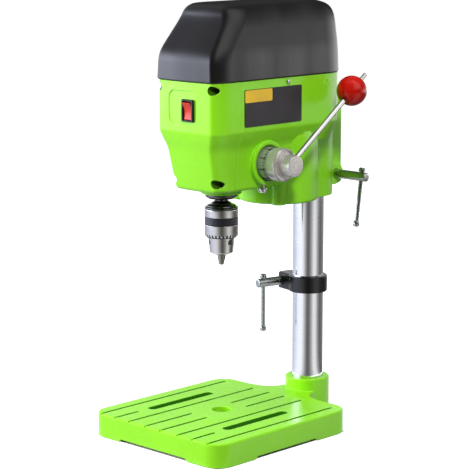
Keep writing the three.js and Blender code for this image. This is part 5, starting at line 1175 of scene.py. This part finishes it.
def studioStrip(build, layer, azimuths, *rows):
    rings = []
    for reach, height, table in rows:
        ring = []
        for azimuth in azimuths:
            a = math.radians(azimuth)
            vertex = build.verts.new((math.sin(a) * reach, 0.0921 - math.cos(a) * reach, height))
            vertex[layer] = shadeAt(studio[table], azimuth)
            ring.append(vertex)
        rings.append(ring)
    for inner, outer in zip(rings, rings[1:]):
        for i in range(len(azimuths) - 1):
            build.faces.new((inner[i], outer[i], outer[i + 1], inner[i + 1]))


build = bmesh.new()
layer = build.verts.layers.float_color.new("shade")
allRound = range(-140, 221, 2)
studioStrip(build, layer, allRound, (0.0235, 0.0366, "near"), (0.25, 0.0366, "near"))
studioStrip(build, layer, allRound, (0.24, 0.0008, "near"), (1.6, 0.0008, "near"), (1.72, 0.0008, "far"),
            (2.6, 0.0008, "far"), (3.0, 0.0008, "low"), (2.97, 0.42, "low"), (2.88, 0.8, "mid"), (2.6, 1.5, "high"),
            (1.5, 2.6, "high"), (0.01, 3.0, "high"))
for azimuths in (range(180, 221, 4), range(-140, -99, 4)):
    studioStrip(build, layer, azimuths, (0.62, 0.425, "flag"), (0.62, 0.85, "flag"))
walls = bpy.data.objects.new("studioWalls", asMesh("studioWalls", build))
bpy.context.scene.collection.objects.link(walls)
for key in ("visible_camera", "visible_diffuse", "visible_shadow", "visible_transmission"):
    setattr(walls, key, False)
shine = bpy.data.materials.new("studioLight")
shine.use_nodes = True
shine.cycles.emission_sampling = "NONE"
board = Board(shine.node_tree)
shine.node_tree.nodes.clear()
own = board.node("ShaderNodeEmission", None, {"Color": board.node("ShaderNodeVertexColor", {"layer_name": "shade"})})
clear = board.node("ShaderNodeBsdfTransparent")
back = board.node("ShaderNodeNewGeometry", output="Backfacing")  # seen from inside and above alone
board.node("ShaderNodeOutputMaterial", None, {0: board.node("ShaderNodeMixShader", None, {0: back, 1: own, 2: clear})})
walls.data.materials.append(shine)

world = bpy.data.worlds.new("world")
bpy.context.scene.world = world
world.use_nodes = True
sky = Board(world.node_tree)
world.node_tree.nodes.clear()
soft = sky.node("ShaderNodeBackground", None, {"Color": (0.96, 0.98, 1, 1), "Strength": room["ambient"]})
white = sky.node("ShaderNodeBackground", None, {"Color": (1, 1, 1, 1), "Strength": 1.0})
both = sky.node("ShaderNodeMixShader", None, {0: seenRay(sky), 1: soft, 2: white})
sky.node("ShaderNodeOutputWorld", None, {0: both})


def softbox(name, azimuth, elevation, distance, width, tall, power, colour=(1, 1, 1)):
    light = bpy.data.lights.new(name, "AREA")
    light.shape = "RECTANGLE"
    light.size, light.size_y = width, tall
    light.energy = power
    light.color = colour
    lamp = bpy.data.objects.new(name, light)
    a, e = math.radians(azimuth), math.radians(elevation)
    offset = Vector((math.sin(a) * math.cos(e), -math.cos(a) * math.cos(e), math.sin(e))) * distance
    lamp.location = Vector((0, 0, 0.22)) + offset
    lamp.rotation_euler = (-offset).to_track_quat("-Z", "Y").to_euler()
    lamp.visible_glossy = False  # the studio's walls stand for it in reflections
    bpy.context.scene.collection.objects.link(lamp)


# Azimuth 0 is in front of the drill and 90 at its right
softbox("keyLight", -42, 14, 1.7, 0.9, 0.9, 42, (1, 0.97, 0.9))
softbox("rightLight", 52, 38, 2.6, 0.3, 0.3, 54, (1, 0.98, 0.94))
softbox("topLight", 30, 80, 1.6, 1.0, 1.0, 12)
softbox("rearLight", 205, 30, 1.8, 1.0, 1.2, 9)
report("floor, world and lights")
